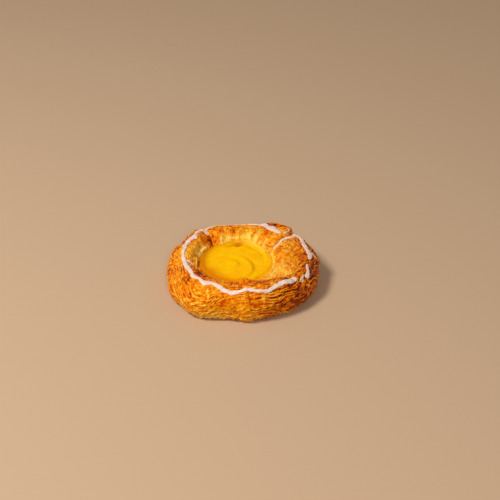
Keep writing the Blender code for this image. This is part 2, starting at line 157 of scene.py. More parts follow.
class GradientNoise:
    """Smooth noise in space: at each lattice point a fixed random slope, blended between the points."""

    CORNERS = np.array([(i, j, k) for i in (0, 1) for j in (0, 1) for k in (0, 1)])
    SLOPES = 4096

    def __init__(self, seed: int) -> None:
        """Draws the slopes from the seed."""
        self.slopes = unit(np.random.default_rng(seed).normal(size=(self.SLOPES, 3)))

    def at(self, points: Array, size: float = 1.0) -> Array:
        """The noise, about -0.6 to 0.6, whose bumps are as wide as size.

        Args:
            points: places in mm, the last axis x, y, z.
            size: the lattice's step in mm.

        Returns:
            One number a point: each corner's slope times the way from it, weighted by 6t⁵ - 15t⁴ + 10t³.
        """
        scaled = points / size
        cell = np.floor(scaled)
        local = scaled - cell
        cell = cell.astype(np.int64)
        fade = local**3 * (local * (local * 6.0 - 15.0) + 10.0)
        summed = np.zeros(points.shape[:-1])
        for corner in self.CORNERS:
            x, y, z = np.moveaxis(cell + corner, -1, 0)
            index = ((x * 73856093) ^ (y * 19349663) ^ (z * 83492791)) & (self.SLOPES - 1)
            slope = dot(self.slopes[index], local - corner)
            summed += slope * np.prod(np.where(corner, fade, 1.0 - fade), axis=-1)
        return summed

    def bumps(self, points: Array, *layers: Bumps) -> Array:
        """The sum of some sizes of bumps, each its height times the noise at its own shifted places.

        Args:
            points: places in mm.
            layers: the sizes of bumps.

        Returns:
            One number a point.
        """
        summed = np.zeros(points.shape[:-1])
        for layer in layers:
            places = points * np.array([1.0, 1.0, layer.flatness]) + layer.shift
            summed += layer.height * self.at(places, layer.size)
        return summed


@dataclass(frozen=True)
class Corner:
    """A place where the outline is fuller: its angle, its pushes at foot and crest, its spread in degrees."""

    angle: float
    foot: float
    crest: float
    spread: float


@dataclass(frozen=True)
class Crease:
    """A fold between two petals: its angle at the crest, its turn on the way to the well, its depth,
    and how far the petal anticlockwise of it stands above the mean crest."""

    angle: float
    turn: float
    depth: float
    lift: float


@dataclass(frozen=True)
class Patch:
    """A smooth patch: angle, station, amount at its middle, spread in degrees and reach in stations.

    The amount is in mm for a relief and a share for a stain. On the custard the place is the share of the
    way out to its rim in place of a station."""

    angle: float
    station: float
    amount: float
    spread: float
    reach: float

    def at(self, angle: Array, station: Array) -> Array:
        """The amount times a bell in angle times a bell in station."""
        across = bell(turn_from(self.angle, angle) / self.spread)
        return self.amount * across * bell((station - self.station) / self.reach)


def total(patches: tuple[Patch, ...], angle: Array, station: Array) -> Array:
    """The sum of some patches at each place."""
    return sum(patch.at(angle, station) for patch in patches)


@dataclass(frozen=True)
class Ground:
    """Places on the folded dough: angle, station, point in mm, way from the axis in mm, outward direction."""

    angle: Array
    station: Array
    points: Array
    distance: Array
    normals: Array

    def away(self, angle: Array | float) -> Array:
        """The way in mm round the danish from an angle to each place."""
        return np.radians(turn_from(angle, self.angle)) * self.distance


@dataclass(frozen=True)
class DoughForm:
    """The form that the CAD solid has too: the folded dough, its creases, swells and main ledges."""

    # The profile: (way from the axis, height) in mm, from the base's middle round to the well's.
    profile: tuple[tuple[float, float], ...] = (
        (0.0, 0.0), (27.0, 0.0), (44.0, 0.0), (50.0, 0.0), (52.4, 0.4),
        (54.9, 4.0), (56.1, 10.2), (54.6, 17.0), (50.0, 23.0), (43.2, 26.2),
        (36.4, 24.8), (31.6, 20.2), (27.6, 15.8), (19.0, 13.0), (8.0, 12.5), (0.0, 12.5),
    )
    axis: tuple[float, float, float] = (-0.8, -0.1, 0.0)
    well_centre: tuple[float, float] = (-4.5, 3.6)
    # How far each profile point takes part in the well's shift and in the corners' two pushes.
    well_share: tuple[float, ...] = (0, 0, 0, 0, 0, 0, 0, 0, 0.1, 0.3, 0.6, 0.9, 1, 1, 1, 1)
    foot_share: tuple[float, ...] = (0, 0, 0.3, 0.9, 1, 1, 1, 0.6, 0.1, 0, 0, 0, 0, 0, 0, 0)
    crest_share: tuple[float, ...] = (0, 0, 0, 0.1, 0.1, 0.2, 0.45, 0.8, 1.0, 0.8, 0.3, 0.1, 0, 0, 0, 0)
    corners: tuple[Corner, ...] = (
        Corner(14, 1.8, 2.4, 15), Corner(34, 0.0, 2.2, 6), Corner(50, 0.8, 5.4, 16),
        Corner(128, 0.0, 5.4, 12), Corner(160, 0.0, -1.2, 9), Corner(184, 0.0, 0.2, 11),
        Corner(208, 3.0, 1.0, 14), Corner(234, 4.0, 1.4, 15), Corner(258, -1.8, -0.6, 14),
        Corner(290, -1.0, 0.0, 16), Corner(343, 1.6, 0.8, 15),
    )
    creases: tuple[Crease, ...] = (
        Crease(40, -9, 3.6, -0.9), Crease(125, 0, 4.6, -0.6), Crease(190, 10, 2.6, -0.8),
        Crease(272, 0, 1.0, 0.0), Crease(322, -22, 3.0, -1.4),
    )
    # The stations over which creases turn, and the reaches of their edge, valley and sides in mm.
    crease_turn_reach: float = 3.0
    crease_edge: float = 1.6
    crease_edge_share: float = 0.45
    crease_spread: float = 6.0
    petal_side: float = 7.0
    # Broad swells and hollows.
    swells: tuple[Patch, ...] = (
        Patch(2, 10.4, 2.6, 26, 1.0), Patch(165, 10.1, 1.9, 24, 0.4), Patch(278, 9.7, 1.4, 5, 0.5),
        Patch(236, 9.9, 0.9, 20, 0.5), Patch(58, 10.4, 1.0, 5, 1.0), Patch(73, 10.7, 1.1, 4.5, 1.0),
        Patch(88, 10.5, 1.2, 5, 1.0), Patch(101, 10.6, 1.1, 4, 1.0), Patch(112, 10.5, 1.2, 3.5, 1.0),
        Patch(142, 9.6, 1.1, 6, 0.9), Patch(164, 7.5, 1.7, 9, 0.6), Patch(24, 7.7, 0.9, 16, 0.4),
        Patch(330, 10.3, -1.0, 9, 0.7), Patch(214, 10.4, -0.9, 14, 0.5), Patch(300, 9.9, -2.8, 14, 0.9),
        Patch(318, 9.6, -1.6, 9, 0.7),
    )
    # The front fold: bearing, half width at top and foot, rise and side in mm. The lifted layer:
    # first and last bearing, station, height in mm, then its ends in degrees and its steps in stations.
    front_fold: tuple[float, float, float, float, float] = (274, 1.2, 5.2, 0.9, 2.0)
    fold_shoulder: float = 0.6
    lifted_layer: tuple[float, float, float, float] = (45, 74, 8.1, 2.9)
    lifted_ends: tuple[float, float] = (3.0, 5.0)
    lifted_steps: tuple[float, float] = (0.9, 0.35)
    # The stations where each relief shows.
    petal_window: Window = ((6.2, 2.0), (11.0, 1.5), 0.0)
    crease_window: Window = ((7.0, 1.6), (11.2, 1.2), 0.1)
    fold_window: Window = ((3.4, 1.0), (7.9, 0.8), 0.0)
    uneven_window: Window = ((3.2, 1.5), (11.0, 0.8), 0.0)
    ledge_window: Window = ((3.6, 0.8), (8.2, 1.2), 0.25)
    ledge_end: tuple[float, float] = (11.2, 0.8)
    # The main ledges in mm, their lip as a share of the pitch.
    ledge_pitch: float = 4.8
    ledge_height: float = 0.95
    ledge_lip: float = 0.25
    # The waves of the dough's unevenness: their lengths in mm, their rise as a share of them.
    wave_lengths: tuple[float, ...] = (61.0, 43.0, 31.0, 24.0, 19.0, 14.0)
    wave_share: float = 0.045
    wave_seed: int = 7
    unevenness: float = 0.13
    # Stations of the foot, the crest and the well's middle, and the profile's widest point.
    foot: float = 4.0
    crest: float = 9.0
    well_middle: float = 15.0
    widest: int = 6
    samples: int = 600

    def weights(self, station: Array) -> Array:
        """The share of each profile point in the curve at a station.

        Args:
            station: places along the profile, point numbers with fractions.

        Returns:
            Shares with the point number as first axis: the four cubic pieces of a uniform B-spline.
        """
        count = len(self.profile)
        whole = np.clip(np.floor(station).astype(int), 0, count - 2)
        t = station - whole
        pieces = (
            (1 - t) ** 3 / 6, (3 * t**3 - 6 * t**2 + 4) / 6, (-3 * t**3 + 3 * t**2 + 3 * t + 1) / 6, t**3 / 6,
        )
        shares = np.zeros((count, *station.shape))
        for offset, piece in zip((-1, 0, 1, 2), pieces):
            point = np.clip(whole + offset, 0, count - 1)
            for number in range(count):
                shares[number] += np.where(point == number, piece, 0.0)
        return shares

    def lengths(self) -> tuple[Array, Array]:
        """Stations along the mean profile and its length in mm up to each."""
        stations = np.linspace(0.0, self.well_middle, self.samples)
        return stations, length_along(np.tensordot(self.weights(stations), np.array(self.profile), (0, 0)))

    def climb(self, station: Array) -> Array:
        """The length in mm of the mean profile up to a station."""
        return np.interp(station, *self.lengths())

    def station_at(self, climb: Array) -> Array:
        """The station that lies a length in mm up the mean profile."""
        return np.interp(climb, *self.lengths()[::-1])

    def crease_angle(self, crease: Crease, station: Array) -> Array:
        """The angle of a crease at a station: it turns smoothly from the crest to the well."""
        return crease.angle + crease.turn * smooth((station - self.crest) / self.crease_turn_reach)

    def petal_lift(self, angle: Array, station: Array) -> Array:
        """How far each petal's top stands off the mean crest, level across it and smooth at its sides.

        Args:
            angle: degrees round the danish.
            station: places along the profile.

        Returns:
            Lifts in mm.
        """
        lift = 0.0 * (angle + station)
        for crease, following in zip(self.creases, self.creases[1:] + self.creases[:1]):
            start = self.crease_angle(crease, station)
            span = (self.crease_angle(following, station) - start) % FULL_TURN
            along = (angle - start) % FULL_TURN
            sides = smooth(along / self.petal_side) * smooth((span - along) / self.petal_side)
            lift = lift + crease.lift * sides
        return lift * within(station, self.petal_window)

    def folded(self, angle: Array, station: Array) -> tuple[Array, Array]:
        """The dough before its relief: the profile turned about the axis, pushed out at the corners.

        Args:
            angle: degrees round the danish, 0 at +X.
            station: places along the profile; both arrays broadcast together.

        Returns:
            Points in mm, and their distance from the axis.
        """
        shares = self.weights(station)
        profile = np.array(self.profile)
        distance = np.tensordot(profile[:, 0], shares, 1)
        height = np.tensordot(profile[:, 1], shares, 1) + self.petal_lift(angle, station)
        foot, crest, shift = (
            np.tensordot(share, shares, 1) for share in (self.foot_share, self.crest_share, self.well_share)
        )
        for corner in self.corners:
            reach = bell(turn_from(corner.angle, angle) / corner.spread)
            distance = distance + reach * (foot * corner.foot + crest * corner.crest)
        x = distance * np.cos(np.radians(angle)) + shift * self.well_centre[0]
        y = distance * np.sin(np.radians(angle)) + shift * self.well_centre[1]
        return np.stack([x, y, height + 0.0 * x], -1), distance

    def outward(self, angle: Array, station: Array) -> Array:
        """Unit normals of the folded dough: the cross product of its slopes along and across.

        Args:
            angle: degrees round the danish.
            station: places along the profile.

        Returns:
            Directions that point out of the dough.
        """
        turn, step = 1.0, 0.01
        across = self.folded(angle + turn, station)[0] - self.folded(angle - turn, station)[0]
        low, high = np.maximum(station - step, 0.0), np.minimum(station + step, self.well_middle)
        return unit(np.cross(across, self.folded(angle, high)[0] - self.folded(angle, low)[0]))

    def ground(self, angle: Array, station: Array) -> Ground:
        """The folded dough at some places, before its relief."""
        return Ground(angle, station, *self.folded(angle, station), self.outward(angle, station))

    def crease_relief(self, ground: Ground) -> Array:
        """Each crease as a narrow valley in a wide one, from the shoulder of the wall to the well.

        Args:
            ground: the places.

        Returns:
            The relief in mm: a bell, with a share of e to the minus distance in place of it.
        """
        relief = 0.0 * ground.distance
        for crease in self.creases:
            away = ground.away(self.crease_angle(crease, ground.station))
            sharp, wide = np.exp(-np.abs(away) / self.crease_edge), bell(away / self.crease_spread)
            relief = relief - crease.depth * (wide + self.crease_edge_share * (sharp - wide))
        return relief * within(ground.station, self.crease_window)

    def fold_relief(self, ground: Ground) -> Array:
        """The fold down the front wall, wider towards the foot, and the lifted layer at the back.

        Args:
            ground: the places.

        Returns:
            The relief in mm, each a level top with smooth sides.
        """
        at, top, bottom, rise, side = self.front_fold
        down = np.clip((self.crest - 1.0 - ground.station) / (self.crest - 1.0 - self.foot), 0.0, 1.0)
        inside = top + (bottom - top) * down + self.fold_shoulder * side - np.abs(ground.away(at))
        fold = rise * smooth(inside / side) * within(ground.station, self.fold_window)
        first, last, level, height = self.lifted_layer
        bearing, (start, end) = ground.angle % FULL_TURN, self.lifted_ends
        sides = smooth((bearing - first) / start) * smooth((last - bearing) / end)
        up, down = self.lifted_steps
        return fold + height * sides * within(ground.station, ((level - up, up), (level, down), 0.0))

    def wander(self, points: Array) -> Array:
        """The sum of seeded plane waves in mm: each its rise times the sine of place along its way.

        Args:
            points: places in mm.

        Returns:
            One height a point.
        """
        source = np.random.default_rng(self.wave_seed)
        summed = np.zeros(points.shape[:-1])
        for length in self.wave_lengths:
            direction = source.normal(size=3)
            direction *= 2.0 * np.pi / (length * np.linalg.norm(direction))
            phase = source.uniform(0.0, 2.0 * np.pi)
            summed += self.wave_share * length * np.sin(points @ direction + phase)
        return summed

    def shape_relief(self, ground: Ground) -> Array:
        """All relief but the ledges: creases, swells, folds and the dough's own unevenness, in mm.

        Args:
            ground: the places.

        Returns:
            One height a place.
        """
        uneven = self.unevenness * self.wander(ground.points) * within(ground.station, self.uneven_window)
        swells = total(self.swells, ground.angle, ground.station)
        return self.crease_relief(ground) + self.fold_relief(ground) + uneven + swells

    def shaped(self, angle: Array, station: Array) -> tuple[Array, Array]:
        """Points (mm) of the dough with all relief but its ledges, and their outward directions."""
        ground = self.ground(angle, station)
        return moved(ground.points, ground.normals, self.shape_relief(ground)), ground.normals

    def ledge_relief(self, station: Array, climb: Array) -> Array:
        """The main ledges in mm, as stairs up the climb that fade out towards the well.

        Args:
            station: places along the profile.
            climb: mm up the profile, with its wandering.

        Returns:
            One height a place.
        """
        start, reach = self.ledge_end
        shown = within(station, self.ledge_window) * (1 - smooth((station - start) / reach))
        return self.ledge_height * stair(climb, self.ledge_pitch, self.ledge_lip) * shown

    def floor_middle(self) -> Array:
        """The middle of the well's floor, a point in mm."""
        return self.shaped(np.zeros(1), np.full(1, self.well_middle))[0][0]


FORM = DoughForm()


def grid_faces(rows: int, columns: int, closed: bool) -> Numbers:
    """Quads of a grid whose points are numbered row by row, facing out where rows climb the profile.

    Args:
        rows: the number of rows.
        columns: the number of columns.
        closed: whether the last column joins the first.

    Returns:
        One row of four point numbers a face.
    """
    row, column = np.arange(rows - 1)[:, None], np.arange(columns if closed else columns - 1)
    low, high, ahead = row * columns, (row + 1) * columns, (column + 1) % columns
    return np.stack([low + column, low + ahead, high + ahead, high + column], -1).reshape(-1, 4)


def strip_faces(first: Numbers, second: Numbers) -> Numbers:
    """Quads between two lines of point numbers of equal length."""
    return np.stack([first[:-1], first[1:], second[1:], second[:-1]], -1)


def fan_faces(rim: Numbers, middle: int) -> Numbers:
    """Triangles from each step of a rim to one middle point, with the rim's direction kept."""
    return np.stack([rim[:-1], rim[1:], np.full(len(rim) - 1, middle)], -1)


def closed_rings(rings: Array, first: Array, last: Array) -> tuple[Array, list[Numbers]]:
    """A skin over rings of points that is closed by a middle point at each end.

    Args:
        rings: points in mm, ring by ring.
        first: the middle point of the first ring.
        last: the middle point of the last ring.

    Returns:
        All points, and the faces between the rings and from the end rings to their middles.
    """
    rows, columns = rings.shape[:2]
    ring, count = np.append(np.arange(columns), 0), rows * columns
    ends = [fan_faces(ring[::-1], count), fan_faces(ring + count - columns, count + 1)]
    return np.concatenate([rings.reshape(-1, 3), [first, last]]), [grid_faces(rows, columns, True), *ends]


@dataclass
class MeshPiece:
    """A mesh in the making: its points (mm), faces, normals and one number a point for each attribute."""

    name: str
    points: Array
    faces: list[Numbers]
    attributes: dict[str, Array] = field(default_factory=dict)
    normals: Array | None = None

    def build(self, material: bpy.types.Material, slot: str, replaced: str) -> None:
        """Makes the object at the origin, dresses it and puts it on the danish's body.

        Args:
            material: the piece's finish.
            slot: the material slot that it stands for; it is not used.
            replaced: the CAD node that it takes the place of, alone or with others.
        """
        mesh = bpy.data.meshes.new(self.name)
        faces = [face for group in self.faces for face in group.tolist()]
        mesh.from_pydata(((self.points + np.array(FORM.axis)) * MM).tolist(), [], faces)
        for name, values in self.attributes.items():
            attribute = mesh.attributes.new(name, "FLOAT", "POINT")
            attribute.data.foreach_set("value", np.ascontiguousarray(values, np.float32))
        mesh.shade_smooth()
        if self.normals is not None:
            mesh.normals_split_custom_set_from_vertices(self.normals.tolist())
        mesh.materials.append(material)
        piece = bpy.data.objects.new(self.name, mesh)
        bpy.context.scene.collection.objects.link(piece)
        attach(piece, BODY)
        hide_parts(replaced)
        triangles = sum(len(group) * (group.shape[1] - 2) for group in self.faces)
        log.info("%s: %d triangles", self.name, triangles)


@dataclass(frozen=True)
class Clouds:
    """Cloudy noise of a finish: its largest spots' width in mm, its finer layers and their roughness."""

    size: float
    detail: float = 3.0
    roughness: float = 0.55


class Shader:
    """A small builder of a Principled material's nodes."""

    def __init__(self, name: str) -> None:
        """Makes the material, its shader and its object coordinates.

        Args:
            name: the material's name.
        """
        self.material = bpy.data.materials.new(name)
        self.material.use_nodes = True
        self.tree = self.material.node_tree
        self.surface = self.tree.nodes["Principled BSDF"]
        self.place = self.tree.nodes.new("ShaderNodeTexCoord").outputs["Object"]

    def feed(self, socket: Socket, value: Socket | Colour | float) -> None:
        """Links a socket to another one, or sets it to a number or a colour.

        Args:
            socket: the input to fill.
            value: what goes in.
        """
        if isinstance(value, Socket):
            self.tree.links.new(value, socket)
        else:
            socket.default_value = (*value, 1.0) if socket.type == "RGBA" else value

    def set(self, **values: Socket | Colour | float) -> None:
        """Fills the shader's own sockets; an underscore in a name stands for a space."""
        for name, value in values.items():
            self.feed(self.surface.inputs[name.replace("_", " ")], value)

    def node(self, kind: str, output: str | int, inputs: dict[str | int, Socket | Colour | float],
             **settings: str) -> Socket:
        """Adds one node.

        Args:
            kind: the end of its type's name.
            output: the output that is wanted.
            inputs: what goes into its inputs.
            settings: its own settings, made first because they decide which inputs it has.

        Returns:
            The output.
        """
        node = self.tree.nodes.new("ShaderNode" + kind)
        for name, value in settings.items():
            setattr(node, name, value)
        for name, value in inputs.items():
            self.feed(node.inputs[name], value)
        return node.outputs[output]

    def attribute(self, name: str) -> Socket:
        """The number that each point of the mesh holds under a name."""
        return self.node("Attribute", "Fac", {}, attribute_name=name)

    def noise(self, clouds: Clouds) -> Socket:
        """Cloudy noise from 0 to 1."""
        sizes = {"Scale": 1.0 / (clouds.size * MM), "Detail": clouds.detail, "Roughness": clouds.roughness}
        return self.node("TexNoise", "Fac", {"Vector": self.place, **sizes})

    def sum(self, first: Socket, second: Socket) -> Socket:
        """The sum of two numbers."""
        return self.node("Math", 0, {0: first, 1: second}, operation="ADD")

    def spread(self, source: Socket, start: float, end: float) -> Socket:
        """Noise carried from its usual 0.3..0.7 to start..end, clamped."""
        ends = {"From Min": 0.3, "From Max": 0.7, "To Min": start, "To Max": end}
        return self.node("MapRange", "Result", {"Value": source, **ends})

    def mix(self, share: Socket, first: Socket, second: Socket | Colour) -> Socket:
        """The first colour turned to the second by a share from 0 to 1."""
        return self.node("Mix", "Result", {"Factor": share, "A": first, "B": second}, data_type="RGBA")

    def ramp(self, source: Socket, *stops: tuple[float, Colour]) -> Socket:
        """Colours blended along a number.

        Args:
            source: the number, from 0 to 1.
            stops: pairs of a number and the colour there, in rising order.

        Returns:
            The colour.
        """
        colour = self.node("ValToRGB", "Color", {"Fac": source})
        elements = colour.node.color_ramp.elements
        while len(elements) < len(stops):
            elements.new(0.5)
        for element, (place, tint) in zip(elements, stops):
            element.position, element.color = place, (*tint, 1.0)
        return colour

    def bump(self, height: Socket, depth: float, strength: float) -> None:
        """Ripples the surface's normal by a height from 0 to 1 that stands for depth mm."""
        inputs = {"Distance": depth * MM, "Strength": strength, "Height": height}
        self.set(Normal=self.node("Bump", "Normal", inputs))


def tone(red: int, green: int, blue: int) -> Colour:
    """A colour given as the eye sees it, as the linear light that a shader takes.

    Args:
        red: its red, 0 to 255.
        green: its green.
        blue: its blue.

    Returns:
        The three linear shares, by the usual curve: a 2.4th power with a straight piece near black.
    """
    seen = np.array([red, green, blue]) / 255.0
    linear = np.where(seen <= 0.04045, seen / 12.92, ((seen + 0.055) / 1.055) ** 2.4)
    return tuple(float(value) for value in linear)


@dataclass(frozen=True)
class BakedDough:
    """Laminated dough baked golden: brown where it is most baked, pale inside the folds, with painted shade
    in its gaps, splits, seams and hollows and painted highlights on its edges.
    """

    straw: Colour = tone(247, 206, 88)
    golden: Colour = tone(241, 168, 14)
    amber: Colour = tone(233, 132, 5)
    russet: Colour = tone(210, 90, 6)
    brown: Colour = tone(158, 48, 6)
    dark: Colour = tone(92, 24, 4)
    # Painted shade: the brown that gaps between layers, splits and seams are painted with.
    painted_shade: Colour = tone(150, 62, 0)
    cream: Colour = tone(252, 230, 130)
    butter: Colour = tone(250, 206, 62)
    glaze: Colour = tone(255, 190, 50)
    mottle: Clouds = Clouds(3.6, 4.0, 0.55)
    mottle_share: float = 0.14
    speckle: Clouds = Clouds(0.9, 2.0, 0.5)
    speckle_share: float = 0.06
    sheen: Clouds = Clouds(2.2, 4.0)
    roughness: tuple[float, float] = (0.3, 0.52)
    grains: tuple[Clouds, Clouds] = (Clouds(0.6, 3.0, 0.5), Clouds(1.8, 2.0))
    grain_depth: float = 0.16

    def material(self) -> bpy.types.Material:
        """The finish, from the attributes for browning with painted shade and highlights, for paleness and
        for painted shade in gaps, and two sizes of mottling.
        """
        shader = Shader("baked_dough")
        mottle = shader.spread(shader.noise(self.mottle), -self.mottle_share, self.mottle_share)
        speckle = shader.spread(shader.noise(self.speckle), -self.speckle_share, self.speckle_share)
        # The browning attribute also carries painted shade in hollows and painted highlights on edges, which
        # lighten towards straw.
        bake = shader.sum(shader.attribute("bake"), shader.sum(mottle, speckle))
        crust = shader.ramp(
            bake, (0.0, self.straw), (0.24, self.golden), (0.48, self.amber), (0.7, self.russet),
            (0.88, self.brown), (1.0, self.dark),
        )
        inside = shader.ramp(bake, (0.1, self.cream), (0.6, self.butter), (1.0, self.golden))
        colour = shader.mix(shader.attribute("pale"), crust, inside)
        # Painted shade: an attribute turns the colour towards the painted shade brown in gaps, splits and
        # seams.
        shader.set(
            Base_Color=shader.mix(shader.attribute("gap_shade"), colour, self.painted_shade), Specular_IOR_Level=0.42,
            Specular_Tint=self.glaze, Roughness=shader.spread(shader.noise(self.sheen), *self.roughness),
        )
        shader.bump(shader.sum(*(shader.noise(grain) for grain in self.grains)), self.grain_depth, 0.5)
        return shader.material


@dataclass(frozen=True)
class SugarIcing:
    """Set water icing: off-white, smooth, and yellowed by the crust where it lies thin."""

    white: Colour = tone(244, 228, 226)
    cool: Colour = tone(232, 212, 214)
    thin: Colour = tone(236, 190, 136)
    clouds: Clouds = Clouds(3.0)
    dimples: Clouds = Clouds(1.3, 2.0)
    dimple_depth: float = 0.07

    def material(self) -> bpy.types.Material:
        """The finish: two whites in soft clouds, the crust's tone by the attribute thin."""
        shader = Shader("sugar_icing")
        base = shader.ramp(shader.noise(self.clouds), (0.35, self.white), (0.7, self.cool))
        shader.set(
            Base_Color=shader.mix(shader.attribute("thin"), base, self.thin), Roughness=0.4,
            Specular_IOR_Level=0.4, Subsurface_Weight=0.2, Subsurface_Scale=0.001,
            Subsurface_Radius=(1.0, 0.8, 0.7),
        )
        shader.bump(shader.noise(self.dimples), self.dimple_depth, 0.4)
        return shader.material


@dataclass(frozen=True)
class SetCustard:
    """Baked custard: a deep even yellow with a soft sheen, painted shade in orange at its rim and in hollows
    near its back, and pale on its ropes.
    """

    yellow: Colour = tone(255, 200, 0)
    deep: Colour = tone(254, 186, 0)
    # Painted shade: the orange of the custard where the dough's walls and its own hollows shade it.
    edge: Colour = tone(206, 130, 0)
    sheen: Colour = tone(255, 206, 90)
    pale: Colour = tone(252, 222, 120)
    clouds: Clouds = Clouds(7.0)
    dimples: Clouds = Clouds(1.6, 4.0)
    dimple_depth: float = 0.12

    def material(self) -> bpy.types.Material:
        """The finish: two yellows in soft clouds, with the attributes rim, which paints shade, and rope."""
        shader = Shader("set_custard")
        base = shader.ramp(shader.noise(self.clouds), (0.35, self.deep), (0.6, self.yellow))
        # Painted shade: the rim attribute turns the yellow to the edge colour.
        base = shader.mix(shader.attribute("rim"), base, self.edge)
        shader.set(
            Base_Color=shader.mix(shader.attribute("rope"), base, self.pale), Roughness=0.45,
            Specular_IOR_Level=0.1, Specular_Tint=self.sheen, Subsurface_Weight=0.12,
            Subsurface_Scale=0.0015, Subsurface_Radius=(1.0, 0.6, 0.02),
        )
        shader.bump(shader.noise(self.dimples), self.dimple_depth, 0.25)
        return shader.material


class Petal(Enum):
    """The folded parts of the dough, each from one crease to the next, by the first crease's number."""

    BACK = 0
    LEFT = 1
    FRONT = 2
    FRONT_RIGHT = 3
    RIGHT = 4

    @property
    def title(self) -> str:
        """The petal's name in piece names."""
        return self.name.lower()


class Grain(Enum):
    """Which way the layers' lines run, by the radius in mm at which their lengths are true: round the
    danish on its wall, or up its sides and over its crest."""

    ROUND = 52.0
    RADIAL = 40.0


@dataclass(frozen=True)
class Streaks:
    """Noise drawn out along a grain: its bumps' length and width in mm, the shift that picks them, how steep
    their sides are, and their height in mm or as a share."""

    grain: Grain
    length: float
    width: float
    shift: float
    steepness: float = 1.0
    height: float = 1.0


@dataclass(frozen=True)
class Leaves:
    """Layers' edges that repeat up the wall: pitch in mm, the lip's share of it, height in mm, the share
    that shows on average, the streaks that break them up, and how they wander."""

    pitch: float
    lip: float
    height: float
    shown: float
    broken: Streaks
    wander: tuple[Bumps, ...] = ()


@dataclass(frozen=True)
class HollowShading:
    """Painted shade in hollows and painted highlights on edges: a place that lies below what is round it is
    painted darker and one above it lighter. The fields are the blur's reach in points, the depth in mm that
    counts as one, the least and most that count, and their share of the browning attribute."""

    reach: int
    depth: float
    least: float
    most: float
    bake: float


@dataclass(frozen=True)
class Split:
    """A parting of two layers, with painted shade along its groove: (angle, station) of its ends, width and
    depth in mm.

    In widths, below and above are its sides' reaches and lip is the way to the lip over it and the lip's
    reach, then its height as a share of the depth. Taper is how fast it opens from its ends."""

    start: tuple[float, float]
    end: tuple[float, float]
    width: float
    depth: float
    below: float = 1.6
    above: float = 0.35
    lip: tuple[float, float, float] = (0.9, 0.7, 0.3)
    taper: float = 2.2

    def relief(self, angle: Array, climb: Array) -> tuple[Array, Array]:
        """A groove as a bell, steep above and shallow below, with a second bell over it as its lip.

        Args:
            angle: degrees round the danish.
            climb: mm up the profile.

        Returns:
            The relief in mm and how deep in the groove each place is, 0 to 1, which is also its share of
            painted shade.
        """
        middle, half = (self.start[0] + self.end[0]) / 2, (self.end[0] - self.start[0]) / 2
        along = turn_from(middle, angle) / half
        first, last = FORM.climb(np.array([self.start[1], self.end[1]]))
        under = ((first * (1 - along) + last * (1 + along)) / 2 - climb) / self.width
        shown = smooth((1.0 - np.abs(along)) * self.taper)
        groove = bell(np.where(under > 0, under / self.below, under / self.above)) * shown
        at, reach, rise = self.lip
        return self.depth * (rise * bell((under + at) / reach) * shown - groove), groove


